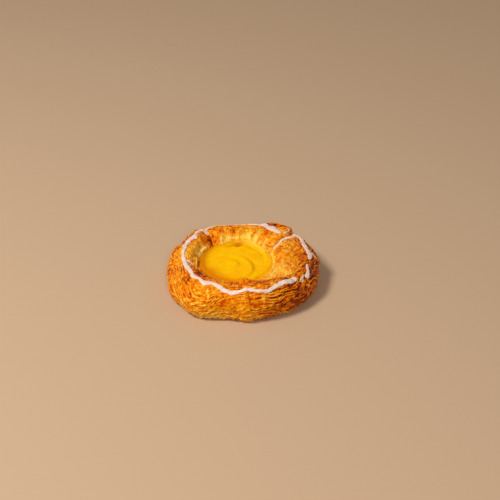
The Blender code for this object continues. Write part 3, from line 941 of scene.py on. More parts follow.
@dataclass
class Dough:
    """The fine surface of the dough: one grid round the whole danish, cut into petals at the creases."""

    # The grid in mm and stations, the last flat station of the base, the middle of a petal's cut side
    # as distance and height in mm, and the core that closes the dough under the custard.
    step: float = 0.24
    hidden_stations: tuple[float, ...] = (2.0, 2.7, 3.2, 3.5)
    shown_stations: tuple[float, float] = (3.7, 12.3)
    last_station: float = 12.7
    flat_station: float = 3.35
    side_middle: tuple[float, float] = (42.0, 8.0)
    core_columns: int = 96
    core_stations: tuple[float, ...] = (2.1, 12.55, 13.2, 14.0, 14.6)
    core_sunk: float = 0.15
    core_tones: tuple[tuple[str, float], ...] = (("bake", 0.4), ("pale", 0.4), ("gap_shade", 0.0))
    # Where the layers' lines show, their tilt on the wall in mm, their lean over the crest in
    # degrees a mm, where they are long and even, and where they stand upright.
    shown_window: Window = ((3.6, 0.4), (11.3, 0.8), 0.12)
    slopes: tuple[Patch, ...] = (
        Patch(230, 6.5, 17.0, 23, 9.0), Patch(218, 7.8, 4.5, 5, 0.8), Patch(262, 6.4, -5.0, 7, 1.4),
        Patch(20, 9.5, 7.0, 22, 2.0),
    )
    slants: tuple[Patch, ...] = (
        Patch(350, 10.0, 1.1, 24, 3.0), Patch(298, 9.4, -0.7, 12, 1.2), Patch(250, 7.2, -0.7, 12, 2.0),
    )
    lined: tuple[Patch, ...] = (
        Patch(308, 6.4, 0.65, 19, 3.0), Patch(10, 6.0, 0.4, 30, 3.0), Patch(85, 6.0, 0.4, 40, 3.0),
    )
    least_lined: float = 0.12
    upright: Patch = Patch(259, 7.2, 1.0, 13, 0.9)
    # How deep and how strongly painted with shade each crease's seam is, and where the dough lies calm.
    seams: tuple[float, ...] = (1.0, 0.35, 0.4, 0.0, 0.4)
    seam_window: Window = ((8.9, 0.8), (11.9, 0.5), 0.0)
    calm: tuple[Patch, ...] = (
        Patch(345, 9.8, 0.5, 30, 1.6), Patch(84, 10.8, 0.2, 30, 1.0), Patch(277, 9.7, 0.4, 8, 0.6),
    )
    # Lips over the custard's edge, and gaps between layers.
    lips: tuple[Patch, ...] = (
        Patch(150, 11.4, 1.3, 12, 0.25), Patch(188, 11.2, 1.1, 9, 0.25), Patch(114, 11.1, 0.9, 3, 0.9),
        Patch(29, 11.0, 0.8, 4, 0.8), Patch(277, 9.9, 1.3, 4.5, 0.45), Patch(210, 10.8, 1.8, 12, 0.6),
    )
    splits: tuple[Split, ...] = (
        Split((291, 7.25), (308, 7.2), 0.8, 1.0), Split((294, 7.85), (306, 7.8), 0.6, 0.8),
        Split((286, 5.95), (299, 5.8), 0.7, 0.9), Split((303, 5.0), (329, 5.45), 1.3, 1.9),
        Split((333, 6.9), (346, 6.6), 0.9, 1.2), Split((322, 7.5), (334, 7.7), 0.7, 0.9),
        Split((309, 6.5), (318, 6.6), 0.6, 0.7), Split((198, 6.9), (208, 6.5), 0.5, 0.5),
        Split((96, 7.2), (112, 7.0), 0.9, 1.0), Split((20, 6.3), (34, 6.6), 1.0, 1.2),
        Split((134, 6.4), (150, 6.2), 0.9, 1.0), Split((60, 5.6), (76, 5.8), 0.9, 1.0),
    )
    # Stains: where the crust is more or less baked, and where it stays pale. Some of the first are painted
    # light
    # and shade: painted shade in the left crease at 127°, on the shaded inner wall at the front left (217° at
    # station 10.2, and 222°), beside the front flake at 286° and painted shadow at the foot on the right at
    # 324°;
    # painted light on the left petal's inner wall at 156°, on the fold at 112° and on the front foot at 248°.
    bakes: tuple[Patch, ...] = (
        Patch(217, 8.0, 0.42, 6, 0.5), Patch(217, 10.2, 0.45, 18, 0.8), Patch(291, 9.2, 0.4, 16, 0.6),
        Patch(336, 6.6, 0.35, 26, 2.6), Patch(303, 7.6, 0.12, 16, 0.9), Patch(253, 6.9, 0.28, 6, 0.45),
        Patch(59, 8.2, 0.45, 15, 0.35), Patch(127, 10.5, 0.4, 4, 1.0), Patch(14, 7.2, 0.35, 26, 1.2),
        Patch(230, 6.4, -0.1, 13, 1.2), Patch(82, 9.9, 0.2, 36, 0.5), Patch(192, 6.6, 0.05, 24, 2.0),
        Patch(156, 10.6, -0.34, 18, 1.1), Patch(112, 10.0, -0.2, 8, 0.8), Patch(148, 7.8, 0.4, 18, 0.9),
        Patch(274, 7.6, 0.16, 9, 0.5), Patch(345, 9.8, -0.1, 28, 1.4), Patch(312, 6.6, 0.14, 22, 2.5),
        Patch(286, 6.2, 0.14, 14, 1.6), Patch(240, 9.8, 0.12, 34, 0.7), Patch(276, 9.5, 0.14, 7, 0.45),
        Patch(222, 9.4, 0.32, 8, 0.5), Patch(248, 4.8, -0.5, 13, 1.0), Patch(255, 7.6, 0.24, 7, 0.5),
        Patch(277, 7.0, 0.2, 5, 0.8), Patch(324, 5.0, 0.6, 18, 0.8), Patch(317, 8.0, 0.26, 9, 0.4),
        Patch(117, 8.9, 0.5, 6, 0.5), Patch(69, 8.2, 0.5, 5, 0.3), Patch(16, 7.8, 0.4, 14, 0.6),
        Patch(343, 7.4, 0.3, 5, 0.6), Patch(289, 6.8, -0.15, 6, 0.6), Patch(265, 6.8, -0.15, 5, 0.6),
        Patch(273, 9.3, -0.25, 4, 0.35), Patch(286, 9.8, 0.3, 5, 0.5), Patch(70, 9.9, -0.2, 5, 0.6),
        Patch(123, 11.2, 0.3, 4, 0.8),
    )
    pales: tuple[Patch, ...] = (
        Patch(80, 11.5, 1.7, 27, 0.74), Patch(162, 11.0, 0.6, 14, 0.55), Patch(141, 10.7, 0.25, 7, 0.5),
        Patch(111, 11.3, 0.9, 4, 0.7), Patch(66, 10.0, 0.45, 4, 0.9), Patch(29, 11.0, 1.2, 5, 1.0),
        Patch(14, 11.7, 1.0, 14, 0.4), Patch(152, 11.5, 1.3, 13, 0.22), Patch(190, 11.3, 1.1, 9, 0.22),
        Patch(206, 11.35, 0.8, 8, 0.14), Patch(332, 10.7, 0.6, 14, 0.9), Patch(327, 9.1, 0.4, 8, 0.5),
        Patch(307, 10.6, 0.5, 6, 0.5), Patch(355, 11.7, 0.5, 30, 0.35), Patch(238, 4.3, 0.5, 12, 0.35),
        Patch(308, 4.4, 0.5, 16, 0.3),
    )
    # The bearings where lines run over the crest, the station and reach where they begin to,
    # and how much sooner they do at the front and the back.
    front_window: Window = ((204.0, 14.0), (304.0, 12.0), 0.0)
    back_window: Window = ((42.0, 8.0), (176.0, 12.0), 0.0)
    over_crest: tuple[float, float] = (9.5, 0.7)
    over_sooner: tuple[float, float] = (0.75, 0.3)
    least_radial: float = 0.3
    # How lines are warped, in mm and in degrees, and how much less where they are even.
    warps: tuple[Bumps, ...] = (Bumps(2.6, 13.0), Bumps(2.2, 5.5, 70.0), Bumps(0.7, 2.4, -40.0))
    swing: Bumps = Bumps(1.6, 6.0, 120.0)
    curls: tuple[Bumps, ...] = (Bumps(3.2, 7.0), Bumps(1.1, 2.8, 15.0))
    lined_warp: float = 0.65
    lined_torn: float = 0.6
    ledge_warp: float = 0.4
    least_ledge: float = 0.3
    # The parts of the relief: on the wall, over the crest, and plates of crust on both.
    chips: Streaks = Streaks(Grain.ROUND, 5.4, 1.4, 0.0, 4.2, 0.28)
    flecks: Streaks = Streaks(Grain.ROUND, 3.0, 0.9, 40.0, 3.0, 0.08)
    ribs: Streaks = Streaks(Grain.RADIAL, 7.0, 2.0, 0.0, 3.6, 0.26)
    twigs: Streaks = Streaks(Grain.RADIAL, 3.6, 1.0, 30.0, 3.6, 0.16)
    sheets: Leaves = Leaves(
        2.8, 0.22, 0.6, 0.5, Streaks(Grain.ROUND, 8.0, 3.0, 120.0, 2.6), (Bumps(1.2, 4.0, 140.0),)
    )
    edges: Leaves = Leaves(2.3, 0.18, 0.6, 0.6, Streaks(Grain.ROUND, 20.0, 2.6, 80.0, 2.0))
    plates: Bumps = Bumps(6.0, 4.4, -80.0, 1.5)
    plate_heights: tuple[float, float] = (0.18, 0.12)
    # The share of the relief from place to place.
    rough_mean: float = 0.85
    rough_clouds: Bumps = Bumps(0.9, 12.0, 31.0)
    rough_range: tuple[float, float] = (0.45, 1.2)
    # How gaps and seams wander in mm, and a seam's depth and shade, each with its reach in mm.
    split_wander: tuple[Bumps, ...] = (Bumps(0.9, 6.0), Bumps(0.4, 2.5))
    seam_wander: tuple[Bumps, ...] = (Bumps(0.9, 4.0, 55.0), Bumps(0.4, 1.6, 66.0))
    seam_cut: tuple[float, float] = (1.8, 1.5)
    seam_shade: tuple[float, float] = (0.75, 1.4)
    # Bumps of the skin, the ragged foot and the well's uneven edge, with their stations.
    blister: Bumps = Bumps(1.1, 4.6)
    pits: tuple[Bumps, ...] = (Bumps(0.3, 1.9, 11.0), Bumps(0.07, 0.8, -5.0))
    ragged: Bumps = Bumps(1.5, 2.4, 0.0, 0.3)
    raised: Bumps = Bumps(2.8, 7.0, 88.0)
    ragged_station: float = 4.1
    raised_station: float = 11.2
    edge_reach: float = 0.5
    # The colour: clouds, painted shade in hollows and highlights on edges, the foot, pleats over the crest,
    # and painted shade in gaps, as shares.
    bake_mean: float = 0.42
    bake_clouds: tuple[Bumps, ...] = (Bumps(0.42, 16.0, 3.0), Bumps(0.26, 3.0, 27.0))
    cloud: Bumps = Bumps(1.0, 5.5, 19.0)
    cloud_bake: float = 0.36
    cloud_turn: float = 3.0
    cloud_mottle: float = 1.4
    mottle: Bumps = Bumps(1.2, 2.6, -60.0)
    narrow: HollowShading = HollowShading(3, 0.22, -1.1, 0.3, 0.45)
    narrow_lined: float = 0.15
    wide: HollowShading = HollowShading(8, 0.5, -0.5, 0.7, 0.2)
    foot_bake: tuple[float, float, float] = (0.2, 3.6, 0.8)
    pleats: tuple[Streaks, ...] = (
        Streaks(Grain.RADIAL, 26.0, 6.0, 60.0, 1.0, 0.7), Streaks(Grain.RADIAL, 14.0, 3.0, 90.0, 1.0, 0.9),
    )
    pleat_bake: float = 0.5
    pleat_mottle: float = 1.3
    gap_depths: tuple[float, float] = (0.08, 0.3)
    gap_shares: tuple[float, float] = (0.06, 0.65)
    noise: GradientNoise = field(default_factory=lambda: GradientNoise(11))

    def stations(self) -> Array:
        """Rows: a few under the base, then even steps of length where the dough shows."""
        first, last = FORM.climb(np.array(self.shown_stations))
        count = int(round((last - first) / self.step))
        shown = FORM.station_at(np.linspace(first, last, count + 1))
        return np.concatenate([self.hidden_stations, shown, [self.last_station]])[:, None]

    def petal_angles(self, petal: Petal, station: Array) -> Array:
        """Columns of one petal, in even shares of the way between its two creases at each station.

        Args:
            petal: which petal.
            station: the rows' places along the profile.

        Returns:
            Angles, row by row.
        """
        first = FORM.creases[petal.value]
        last = FORM.creases[(petal.value + 1) % len(FORM.creases)]
        lap = FULL_TURN if last.angle < first.angle else 0.0
        start, end = FORM.crease_angle(first, station), FORM.crease_angle(last, station) + lap
        widest = math.radians(last.angle + lap - first.angle) * FORM.profile[FORM.widest][0]
        share = np.linspace(0.0, 1.0, int(round(widest / self.step)) + 1)
        return start + share * (end - start)

    def streaks(self, angle: Array, climb: Array, streaks: Streaks) -> Array:
        """Noise drawn out along the grain, without a seam round the danish.

        The noise is read on a cylinder whose girth and height are measured in bumps: long ones one way
        and short ones the other.

        Args:
            angle: degrees round the danish.
            climb: mm up the profile.
            streaks: the grain and the bumps' sizes.

        Returns:
            Numbers of about -0.6 to 0.6.
        """
        around, up = streaks.length, streaks.width
        if streaks.grain is Grain.RADIAL:
            around, up = up, around
        radius, turn = streaks.grain.value / around, np.radians(angle)
        place = np.stack([radius * np.cos(turn), radius * np.sin(turn), climb / up + streaks.shift], -1)
        return self.noise.at(place)

    def crisp(self, angle: Array, climb: Array, streaks: Streaks) -> Array:
        """Streaks with steep sides: their height times the tanh of their steepness times the noise."""
        return streaks.height * np.tanh(streaks.steepness * self.streaks(angle, climb, streaks))

    def leaves(self, angle: Array, climb: Array, points: Array, leaves: Leaves) -> Array:
        """Stairs up the wandering climb, shown where their streaks let them.

        Args:
            angle: degrees round the danish.
            climb: mm up the profile.
            points: the folded dough's points in mm.
            leaves: the layers' edges.

        Returns:
            The relief in mm.
        """
        steps = stair(climb + self.noise.bumps(points, *leaves.wander), leaves.pitch, leaves.lip)
        broken = leaves.broken.steepness * self.streaks(angle, climb, leaves.broken)
        return leaves.height * steps * smooth(leaves.shown + broken)

    def radial_share(self, angle: Array, station: Array) -> Array:
        """How far the lines run up and over the crest: wholly on the front rim and the back petal.

        Args:
            angle: degrees round the danish.
            station: places along the profile.

        Returns:
            Shares from 0 to 1.
        """
        bearing = angle % FULL_TURN
        front, back = within(bearing, self.front_window), within(bearing, self.back_window)
        start = self.over_crest[0] - self.over_sooner[0] * front - self.over_sooner[1] * back
        share = self.least_radial + (1 - self.least_radial) * np.maximum(front, back)
        over = smooth((station - start) / self.over_crest[1]) * share
        return np.maximum(over, self.upright.at(angle, station))

    def lined_share(self, angle: Array, station: Array) -> Array:
        """How far the wall shows the long even edges of its layers, 0 to 1."""
        return np.clip(self.least_lined + total(self.lined, angle, station), 0.0, 1.0)

    def roughness(self, ground: Ground) -> Array:
        """The share of the fine relief at each place: cloudy, and less where the dough is calm."""
        cloudy = self.rough_mean + self.noise.bumps(ground.points, self.rough_clouds)
        return np.clip(cloudy, *self.rough_range) * (1 - total(self.calm, ground.angle, ground.station))

    def layers(self, ground: Ground) -> Array:
        """The laminations: short ridges and torn flakes along the grain, and long thin edges of layers.

        The grain is warped by smooth noise and by the slopes, which tilt and curl the lines. Where the
        lines run up and over the crest, ribs and twigs take the place of the lines round the danish.

        Args:
            ground: the places.

        Returns:
            The relief in mm.
        """
        angle, station, points = ground.angle, ground.station, ground.points
        lined = self.lined_share(angle, station)
        warp = self.noise.bumps(points, *self.warps) * (1 - self.lined_warp * lined)
        climb = FORM.climb(station) + FORM.wander(points)
        main = FORM.ledge_relief(station, climb + self.ledge_warp * warp)
        main = main * (self.least_ledge + (1 - self.least_ledge) * lined)
        around = angle + self.noise.bumps(points, self.swing)
        tilted = climb + warp + total(self.slopes, angle, station)
        plates = np.tanh(self.noise.bumps(points, self.plates))
        torn = self.crisp(around, tilted, self.chips) + self.leaves(around, tilted, points, self.sheets)
        level = (1 - self.lined_torn * lined) * torn + lined * self.leaves(around, tilted, points, self.edges)
        level = level + self.crisp(around, tilted, self.flecks) + self.plate_heights[0] * plates
        slanted = angle + total(self.slants, angle, station) * (climb - FORM.climb(np.array(FORM.crest)))
        slanted = slanted + self.noise.bumps(points, *self.curls)
        upright = self.crisp(slanted, climb, self.ribs) + self.crisp(slanted, climb, self.twigs)
        radial = self.radial_share(angle, station)
        fine = (1 - radial) * level + radial * (upright + self.plate_heights[1] * plates)
        return main + fine * self.roughness(ground) * within(station, self.shown_window)

    def split_relief(self, ground: Ground) -> tuple[Array, Array]:
        """All gaps in mm, wandering a little along, and the painted shade at each place from 0 to 1.

        Args:
            ground: the places.

        Returns:
            The sum of the gaps' reliefs, and the deepest of their grooves as painted shade.
        """
        climb = FORM.climb(ground.station) + self.noise.bumps(ground.points, *self.split_wander)
        reliefs, grooves = zip(*(split.relief(ground.angle, climb) for split in self.splits))
        return sum(reliefs), np.maximum.reduce(grooves)

    def seam_relief(self, ground: Ground) -> tuple[Array, Array]:
        """The sharp bottom of each crease, as e to the minus distance from its wandering line.

        Args:
            ground: the places.

        Returns:
            The relief in mm and the painted shade in the crease at each place, 0 to 1.
        """
        wander = self.noise.bumps(ground.points, *self.seam_wander)
        shown = within(ground.station, self.seam_window)
        relief, shade = 0.0 * wander, 0.0 * wander
        for crease, share in zip(FORM.creases, self.seams):
            away = ground.away(FORM.crease_angle(crease, ground.station)) + wander
            relief = relief - self.seam_cut[0] * share * shown * np.exp(-np.abs(away) / self.seam_cut[1])
            shade = np.maximum(shade, self.seam_shade[0] * share * shown * bell(away / self.seam_shade[1]))
        return relief, shade

    def blisters(self, ground: Ground) -> Array:
        """Blisters and pits of the baked skin in mm, a ragged foot and an uneven edge round the well.

        Args:
            ground: the places.

        Returns:
            One height a place.
        """
        skin = np.maximum(self.noise.bumps(ground.points, self.blister), 0.0)
        skin = skin + self.noise.bumps(ground.points, *self.pits)
        ragged = self.noise.bumps(ground.points, self.ragged)
        ragged = ragged * bell((ground.station - self.ragged_station) / self.edge_reach)
        raised = np.maximum(self.noise.bumps(ground.points, self.raised), 0.0)
        raised = raised * bell((ground.station - self.raised_station) / self.edge_reach)
        return skin * within(ground.station, self.shown_window) + ragged + raised

    def surface(self, angle: Array, station: Array) -> tuple[Array, Array, Array]:
        """The fine dough: the shared form, plus the fine relief along its normals.

        Args:
            angle: degrees round the danish.
            station: places along the profile; both arrays broadcast together.

        Returns:
            Points in mm, the fine relief in mm and the shade of the splits and seams.
        """
        ground = FORM.ground(angle, station)
        splits, shade = self.split_relief(ground)
        seams, seam_shade = self.seam_relief(ground)
        fine = self.layers(ground) + splits + seams + self.blisters(ground) + total(self.lips, angle, station)
        made = moved(ground.points, ground.normals, FORM.shape_relief(ground) + fine)
        made[..., 2] = np.where(station < self.flat_station, 0.0, np.maximum(made[..., 2], 0.0))
        return made, fine, np.maximum(shade, seam_shade)

    def crust(self, angle: Array, station: Array) -> tuple[Array, Array, Array]:
        """The shared form's points and directions, and how far the fine dough stands off it in mm."""
        base, normals = FORM.shaped(angle, station)
        return base, normals, dot(self.surface(angle, station)[0] - base, normals)

    def dressing(self, angle: Array, station: Array, points: Array, fine: Array,
                 shade: Array) -> dict[str, Array]:
        """How baked each point of the grid is, with painted shade and highlights, how pale it is, and its
        painted shade in gaps, each from 0 to 1.

        A point below the mean of those round it lies in a hollow and is painted darker as shade; one above it
        is an edge and is painted lighter as a highlight.

        Args:
            angle: degrees round the danish.
            station: places along the profile.
            points: the grid's points in mm.
            fine: their fine relief in mm.
            shade: the shade of the splits and seams.

        Returns:
            The three attributes: baking with painted shade and highlights, paleness, and painted shade in
                gaps.
        """
        hollow, cloud = blur(fine, self.narrow.reach) - fine, self.noise.bumps(points, self.cloud)
        bake = self.bake_mean + self.cloud_bake * cloud + self.noise.bumps(points, *self.bake_clouds)
        bake = bake + total(self.bakes, angle, station)
        lined = self.narrow_lined * self.lined_share(angle, station)
        broad = blur(fine, self.wide.reach) - fine
        # Painted shade in hollows and painted highlights on edges.
        for hollows, below, less in ((self.narrow, hollow, lined), (self.wide, broad, 0.0)):
            bake = bake + hollows.bake * np.clip(below / hollows.depth, hollows.least, hollows.most - less)
        share, start, reach = self.foot_bake
        bake = bake + share * (1 - smooth((station - start) / reach))
        curled, climb = angle + self.cloud_turn * cloud, FORM.climb(station) + 0.0 * cloud
        pleats = sum(streaks.height * self.streaks(curled, climb, streaks) for streaks in self.pleats)
        pleats = pleats * self.radial_share(angle, station) * within(angle % FULL_TURN, self.back_window)
        mottled = 1 + self.cloud_mottle * cloud + self.noise.bumps(points, self.mottle)
        pale = total(self.pales, angle, station) * (mottled - self.pleat_mottle * pleats)
        # Painted shade in gaps between layers and along the splits and seams.
        start, reach = self.gap_depths
        gap_shade = smooth((hollow - start) / reach) * within(station, self.shown_window)
        dark = self.gap_shares[0] * gap_shade + self.gap_shares[1] * shade
        values = {"bake": bake + self.pleat_bake * pleats, "pale": pale, "gap_shade": dark}
        return {name: np.clip(value, 0.0, 1.0) for name, value in values.items()}

    def normals(self, points: Array) -> Array:
        """Unit normals of a grid that closes on itself: the cross product of its two central slopes."""
        across = np.roll(points, -1, 1) - np.roll(points, 1, 1)
        return unit(np.cross(across, np.gradient(points, axis=0)))

    def build(self, material: bpy.types.Material) -> None:
        """Makes the petals and the core under the custard.

        Args:
            material: the dough's finish.
        """
        station = self.stations()
        parts = [self.petal_angles(petal, station) for petal in Petal]
        whole = np.concatenate([part[:, :-1] for part in parts], axis=1)
        points, fine, shade = self.surface(whole, station)
        attributes = self.dressing(whole, station, points, fine, shade)
        normals = self.normals(points)
        start = 0
        for petal, part in zip(Petal, parts):
            columns = np.arange(start, start + part.shape[1]) % whole.shape[1]
            start += part.shape[1] - 1
            values = {name: grid[:, columns] for name, grid in attributes.items()}
            piece = self.petal_piece(petal, points[:, columns], normals[:, columns], values)
            piece.build(material, "baked_dough", "pastry")
        self.core_piece().build(material, "baked_dough", "pastry")

    def petal_piece(self, petal: Petal, points: Array, normals: Array,
                    attributes: dict[str, Array]) -> MeshPiece:
        """Closes one petal's grid: a strip from its last row back to its first, and a fan at each side.

        Args:
            petal: which petal.
            points: its grid of points in mm.
            normals: the whole surface's normals there, so that neighbours shade alike.
            attributes: one grid of numbers a name.

        Returns:
            The closed piece.
        """
        rows, columns = points.shape[:2]
        number = np.arange(rows * columns).reshape(rows, columns)
        middles = []
        for side in (0, -1):
            flat = points[:, side, :2].mean(axis=0)
            middles.append([*(flat / np.linalg.norm(flat) * self.side_middle[0]), self.side_middle[1]])
        loops = [np.append(number[:, side], number[0, side]) for side in (0, -1)]
        faces = [
            grid_faces(rows, columns, False), strip_faces(number[-1], number[0]),
            fan_faces(loops[0][::-1], rows * columns), fan_faces(loops[1], rows * columns + 1),
        ]
        everything = np.concatenate([points.reshape(-1, 3), middles])
        directions = np.concatenate([normals.reshape(-1, 3), [[0.0, 0.0, 1.0]] * 2])
        values = {name: np.append(grid.ravel(), [0.5, 0.5]) for name, grid in attributes.items()}
        return MeshPiece(f"dough_petal_{petal.title}", everything, faces, values, directions)

    def core_piece(self) -> MeshPiece:
        """The dough under the custard: a disc from the base to the well's floor, just inside the petals."""
        angle = np.linspace(0.0, FULL_TURN, self.core_columns, endpoint=False)
        rings = FORM.shaped(angle, np.array(self.core_stations)[:, None])[0]
        rings[0, :, 2] = 0.0
        rings[1, :, 2] -= self.core_sunk
        points, faces = closed_rings(rings, np.zeros(3), FORM.floor_middle())
        values = {name: np.full(len(points), value) for name, value in self.core_tones}
        return MeshPiece("dough_core", points, faces, values)


@dataclass
class Flakes:
    """Thin leaves of crust that have come away along one edge and stand off the dough."""

    # How many there are, and the points along and across each.
    count: int = 900
    along: int = 11
    across: int = 4
    seed: int = 5
    # Least and most sizes in mm, and the shares to which some are shorter and lower.
    length: tuple[float, float] = (1.8, 5.5)
    shorter: tuple[float, float] = (0.6, 1.0)
    width: tuple[float, float] = (0.5, 1.4)
    lift: tuple[float, float] = (0.1, 0.6)
    lower: tuple[float, float] = (0.5, 1.0)
    # Their thickness in mm, its share at the tips and how much thinner the free edge is.
    thickness: float = 0.14
    thinnest: float = 0.3
    thinned: float = 0.6
    # Where they lie, how far lines must turn up before they do, their tilt in radians, and how
    # many lift their upper edge.
    stations: tuple[float, float] = (3.9, 9.8)
    radial_limits: tuple[float, float] = (0.35, 0.8)
    tilt_spread: float = 0.16
    upper_share: float = 0.6
    # Their outline as shares of the width, and their height off the crust in mm.
    tip: float = 0.1
    tip_powers: tuple[float, float] = (2.4, 0.6)
    ragged: Bumps = Bumps(0.7, 1.0)
    ragged_stretch: float = 0.9
    bend: float = 0.15
    root_share: float = 0.6
    sunk: float = 0.22
    clear: float = 0.1
    lift_power: float = 1.3
    lowest: tuple[float, float] = (0.16, 0.02)
    # Their colour: least, what is drawn on top, and the free edge's own.
    bakes: tuple[float, float, float] = (0.2, 0.36, 0.18)
    bake_power: float = 1.5
    palest: float = 0.55
    noise: GradientNoise = field(default_factory=lambda: GradientNoise(17))

    def places(self, dough: Dough, source: np.random.Generator, u: Array, reach: Array) -> tuple[Array, ...]:
        """Lays each leaf along the grain where it is, a little turned and bent, with a ragged edge.

        Args:
            dough: the surface that they stand on.
            source: where the random numbers come from.
            u: from -1 to 1 along a leaf.
            reach: how far from its root each point is, as a share of its width.

        Returns:
            The angles and stations of its points, its lift in mm and the side of its free edge, 1 or -1.
        """
        size = (self.count, 1, 1)
        angle = source.uniform(0.0, FULL_TURN, size)
        climb = source.uniform(*FORM.climb(np.array(self.stations)), size)
        level = FORM.station_at(climb)
        radial = dough.radial_share(angle, level) > source.uniform(*self.radial_limits, size)
        tilt = source.normal(0.0, self.tilt_spread, size)
        tilt = tilt + np.where(radial, np.pi / 2, -self.slope(dough, angle, level))
        length = source.uniform(*self.length, size) * source.uniform(*self.shorter, size)
        width = source.uniform(*self.width, size)
        lift = source.uniform(*self.lift, size) * source.uniform(*self.lower, size)
        side = np.where(source.uniform(size=size) < self.upper_share, 1.0, -1.0)
        own = np.stack(np.broadcast_arrays(self.ragged_stretch * u * length, angle, climb), -1)
        out = width * reach * (1 + self.noise.bumps(own, self.ragged)) * side
        out = out + self.bend * length * u**2 * source.normal(0.0, 1.0, size)
        run = u * length / 2
        x, y = run * np.cos(tilt) - out * np.sin(tilt), run * np.sin(tilt) + out * np.cos(tilt)
        radius = np.interp(level, np.arange(len(FORM.profile)), np.array(FORM.profile)[:, 0])
        return angle + np.degrees(x / radius), FORM.station_at(climb + y), lift, side

    def build(self, dough: Dough, material: bpy.types.Material) -> None:
        """Makes all flakes as one piece.

        Each is a grid over u along it and v from its root to its free edge. Its width falls off to its ends
        as (1 - |u|^2.4)^0.6, with a ragged edge, and its height off the crust grows as v^1.3. Its free half
        stays clear of the crust under it.

        Args:
            dough: the surface that they stand on.
            material: the dough's finish.
        """
        source = np.random.default_rng(self.seed)
        u = np.linspace(-1.0, 1.0, self.along)[None, :, None]
        v = np.linspace(0.0, 1.0, self.across)[None, None, :]
        inner, outer = self.tip_powers
        taper = self.tip + (1 - self.tip) * np.clip(1 - np.abs(u) ** inner, 0.0, 1.0) ** outer
        angles, levels, lift, side = self.places(dough, source, u, taper * v)
        base, normals, crust = dough.crust(angles, levels)
        mean = crust.mean(axis=(1, 2), keepdims=True)
        settled = self.root_share * crust[:, :, :1] + (1 - self.root_share) * mean
        height = settled - self.sunk + (self.sunk + lift) * v**self.lift_power * taper
        height = np.where(v > 0.5, np.maximum(height, crust + self.clear * v), height)
        thickness = self.thinnest + (1 - self.thinnest) * taper * (1 - self.thinned * v)
        sheets = []
        for level, lowest in zip((height, height - self.thickness * thickness), self.lowest):
            sheet = moved(base, normals, level)
            sheet[..., 2] = np.maximum(sheet[..., 2], lowest)
            sheets.append(sheet.reshape(self.count, -1, 3))
        points = np.concatenate(sheets, axis=1)
        faces = self.faces()
        offset = np.arange(self.count)[:, None, None] * points.shape[1]
        turned = np.where(side.reshape(-1, 1, 1) > 0, faces[None], faces[None, :, ::-1]) + offset
        least, more, free = self.bakes
        bake = least + more * source.uniform(0.0, 1.0, lift.shape) ** self.bake_power + free * v + 0.0 * u
        pale = self.palest * source.uniform(0.0, 1.0, lift.shape) ** 2 + 0.0 * u * v
        values = {
            name: np.concatenate([grid.reshape(self.count, -1)] * 2, axis=1).ravel()
            for name, grid in (("bake", bake), ("pale", pale), ("gap_shade", 0.0 * bake))
        }
        piece = MeshPiece("crust_flakes", points.reshape(-1, 3), [turned.reshape(-1, 4)], values)
        piece.build(material, "baked_dough", "pastry")

    def slope(self, dough: Dough, angle: Array, station: Array) -> Array:
        """The angle in radians by which the slopes tilt the lines, from a finite difference.

        Args:
            dough: the surface whose lines they are.
            angle: degrees round the danish.
            station: places along the profile.

        Returns:
            Angles, up towards +angle.
        """
        step = 1.0
        ahead = total(dough.slopes, angle + step, station) - total(dough.slopes, angle - step, station)
        return np.arctan(ahead / (2 * np.radians(step) * Grain.ROUND.value))

    def faces(self) -> Numbers:
        """Quads of one flake: its top, its underside and the strip round its edge."""
        number = np.arange(self.along * self.across).reshape(self.along, self.across)
        top = grid_faces(self.along, self.across, False)[:, [0, 3, 2, 1]]
        loop = np.concatenate([number[:, 0], number[-1, 1:], number[-2::-1, -1], number[0, -2::-1]])
        rim = strip_faces(loop, loop + number.size)[:, ::-1]
        return np.concatenate([top, top[:, ::-1] + number.size, rim])


@dataclass(frozen=True)
class Strand:
    """One strand of icing: (angle, distance from the axis, width) along it, and how thinly it lies."""

    name: str
    thinness: float
    path: tuple[tuple[float, float, float], ...]


@dataclass(frozen=True)
class Spine:
    """The middle of a strand in even steps: angle, station, point in mm, half width in mm, its unevenness,
    and how far it is rounded off towards an end, 1 where it isn't."""

    angle: Array
    level: Array
    centre: Array
    half: Array
    wobble: Array
    rounding: Array


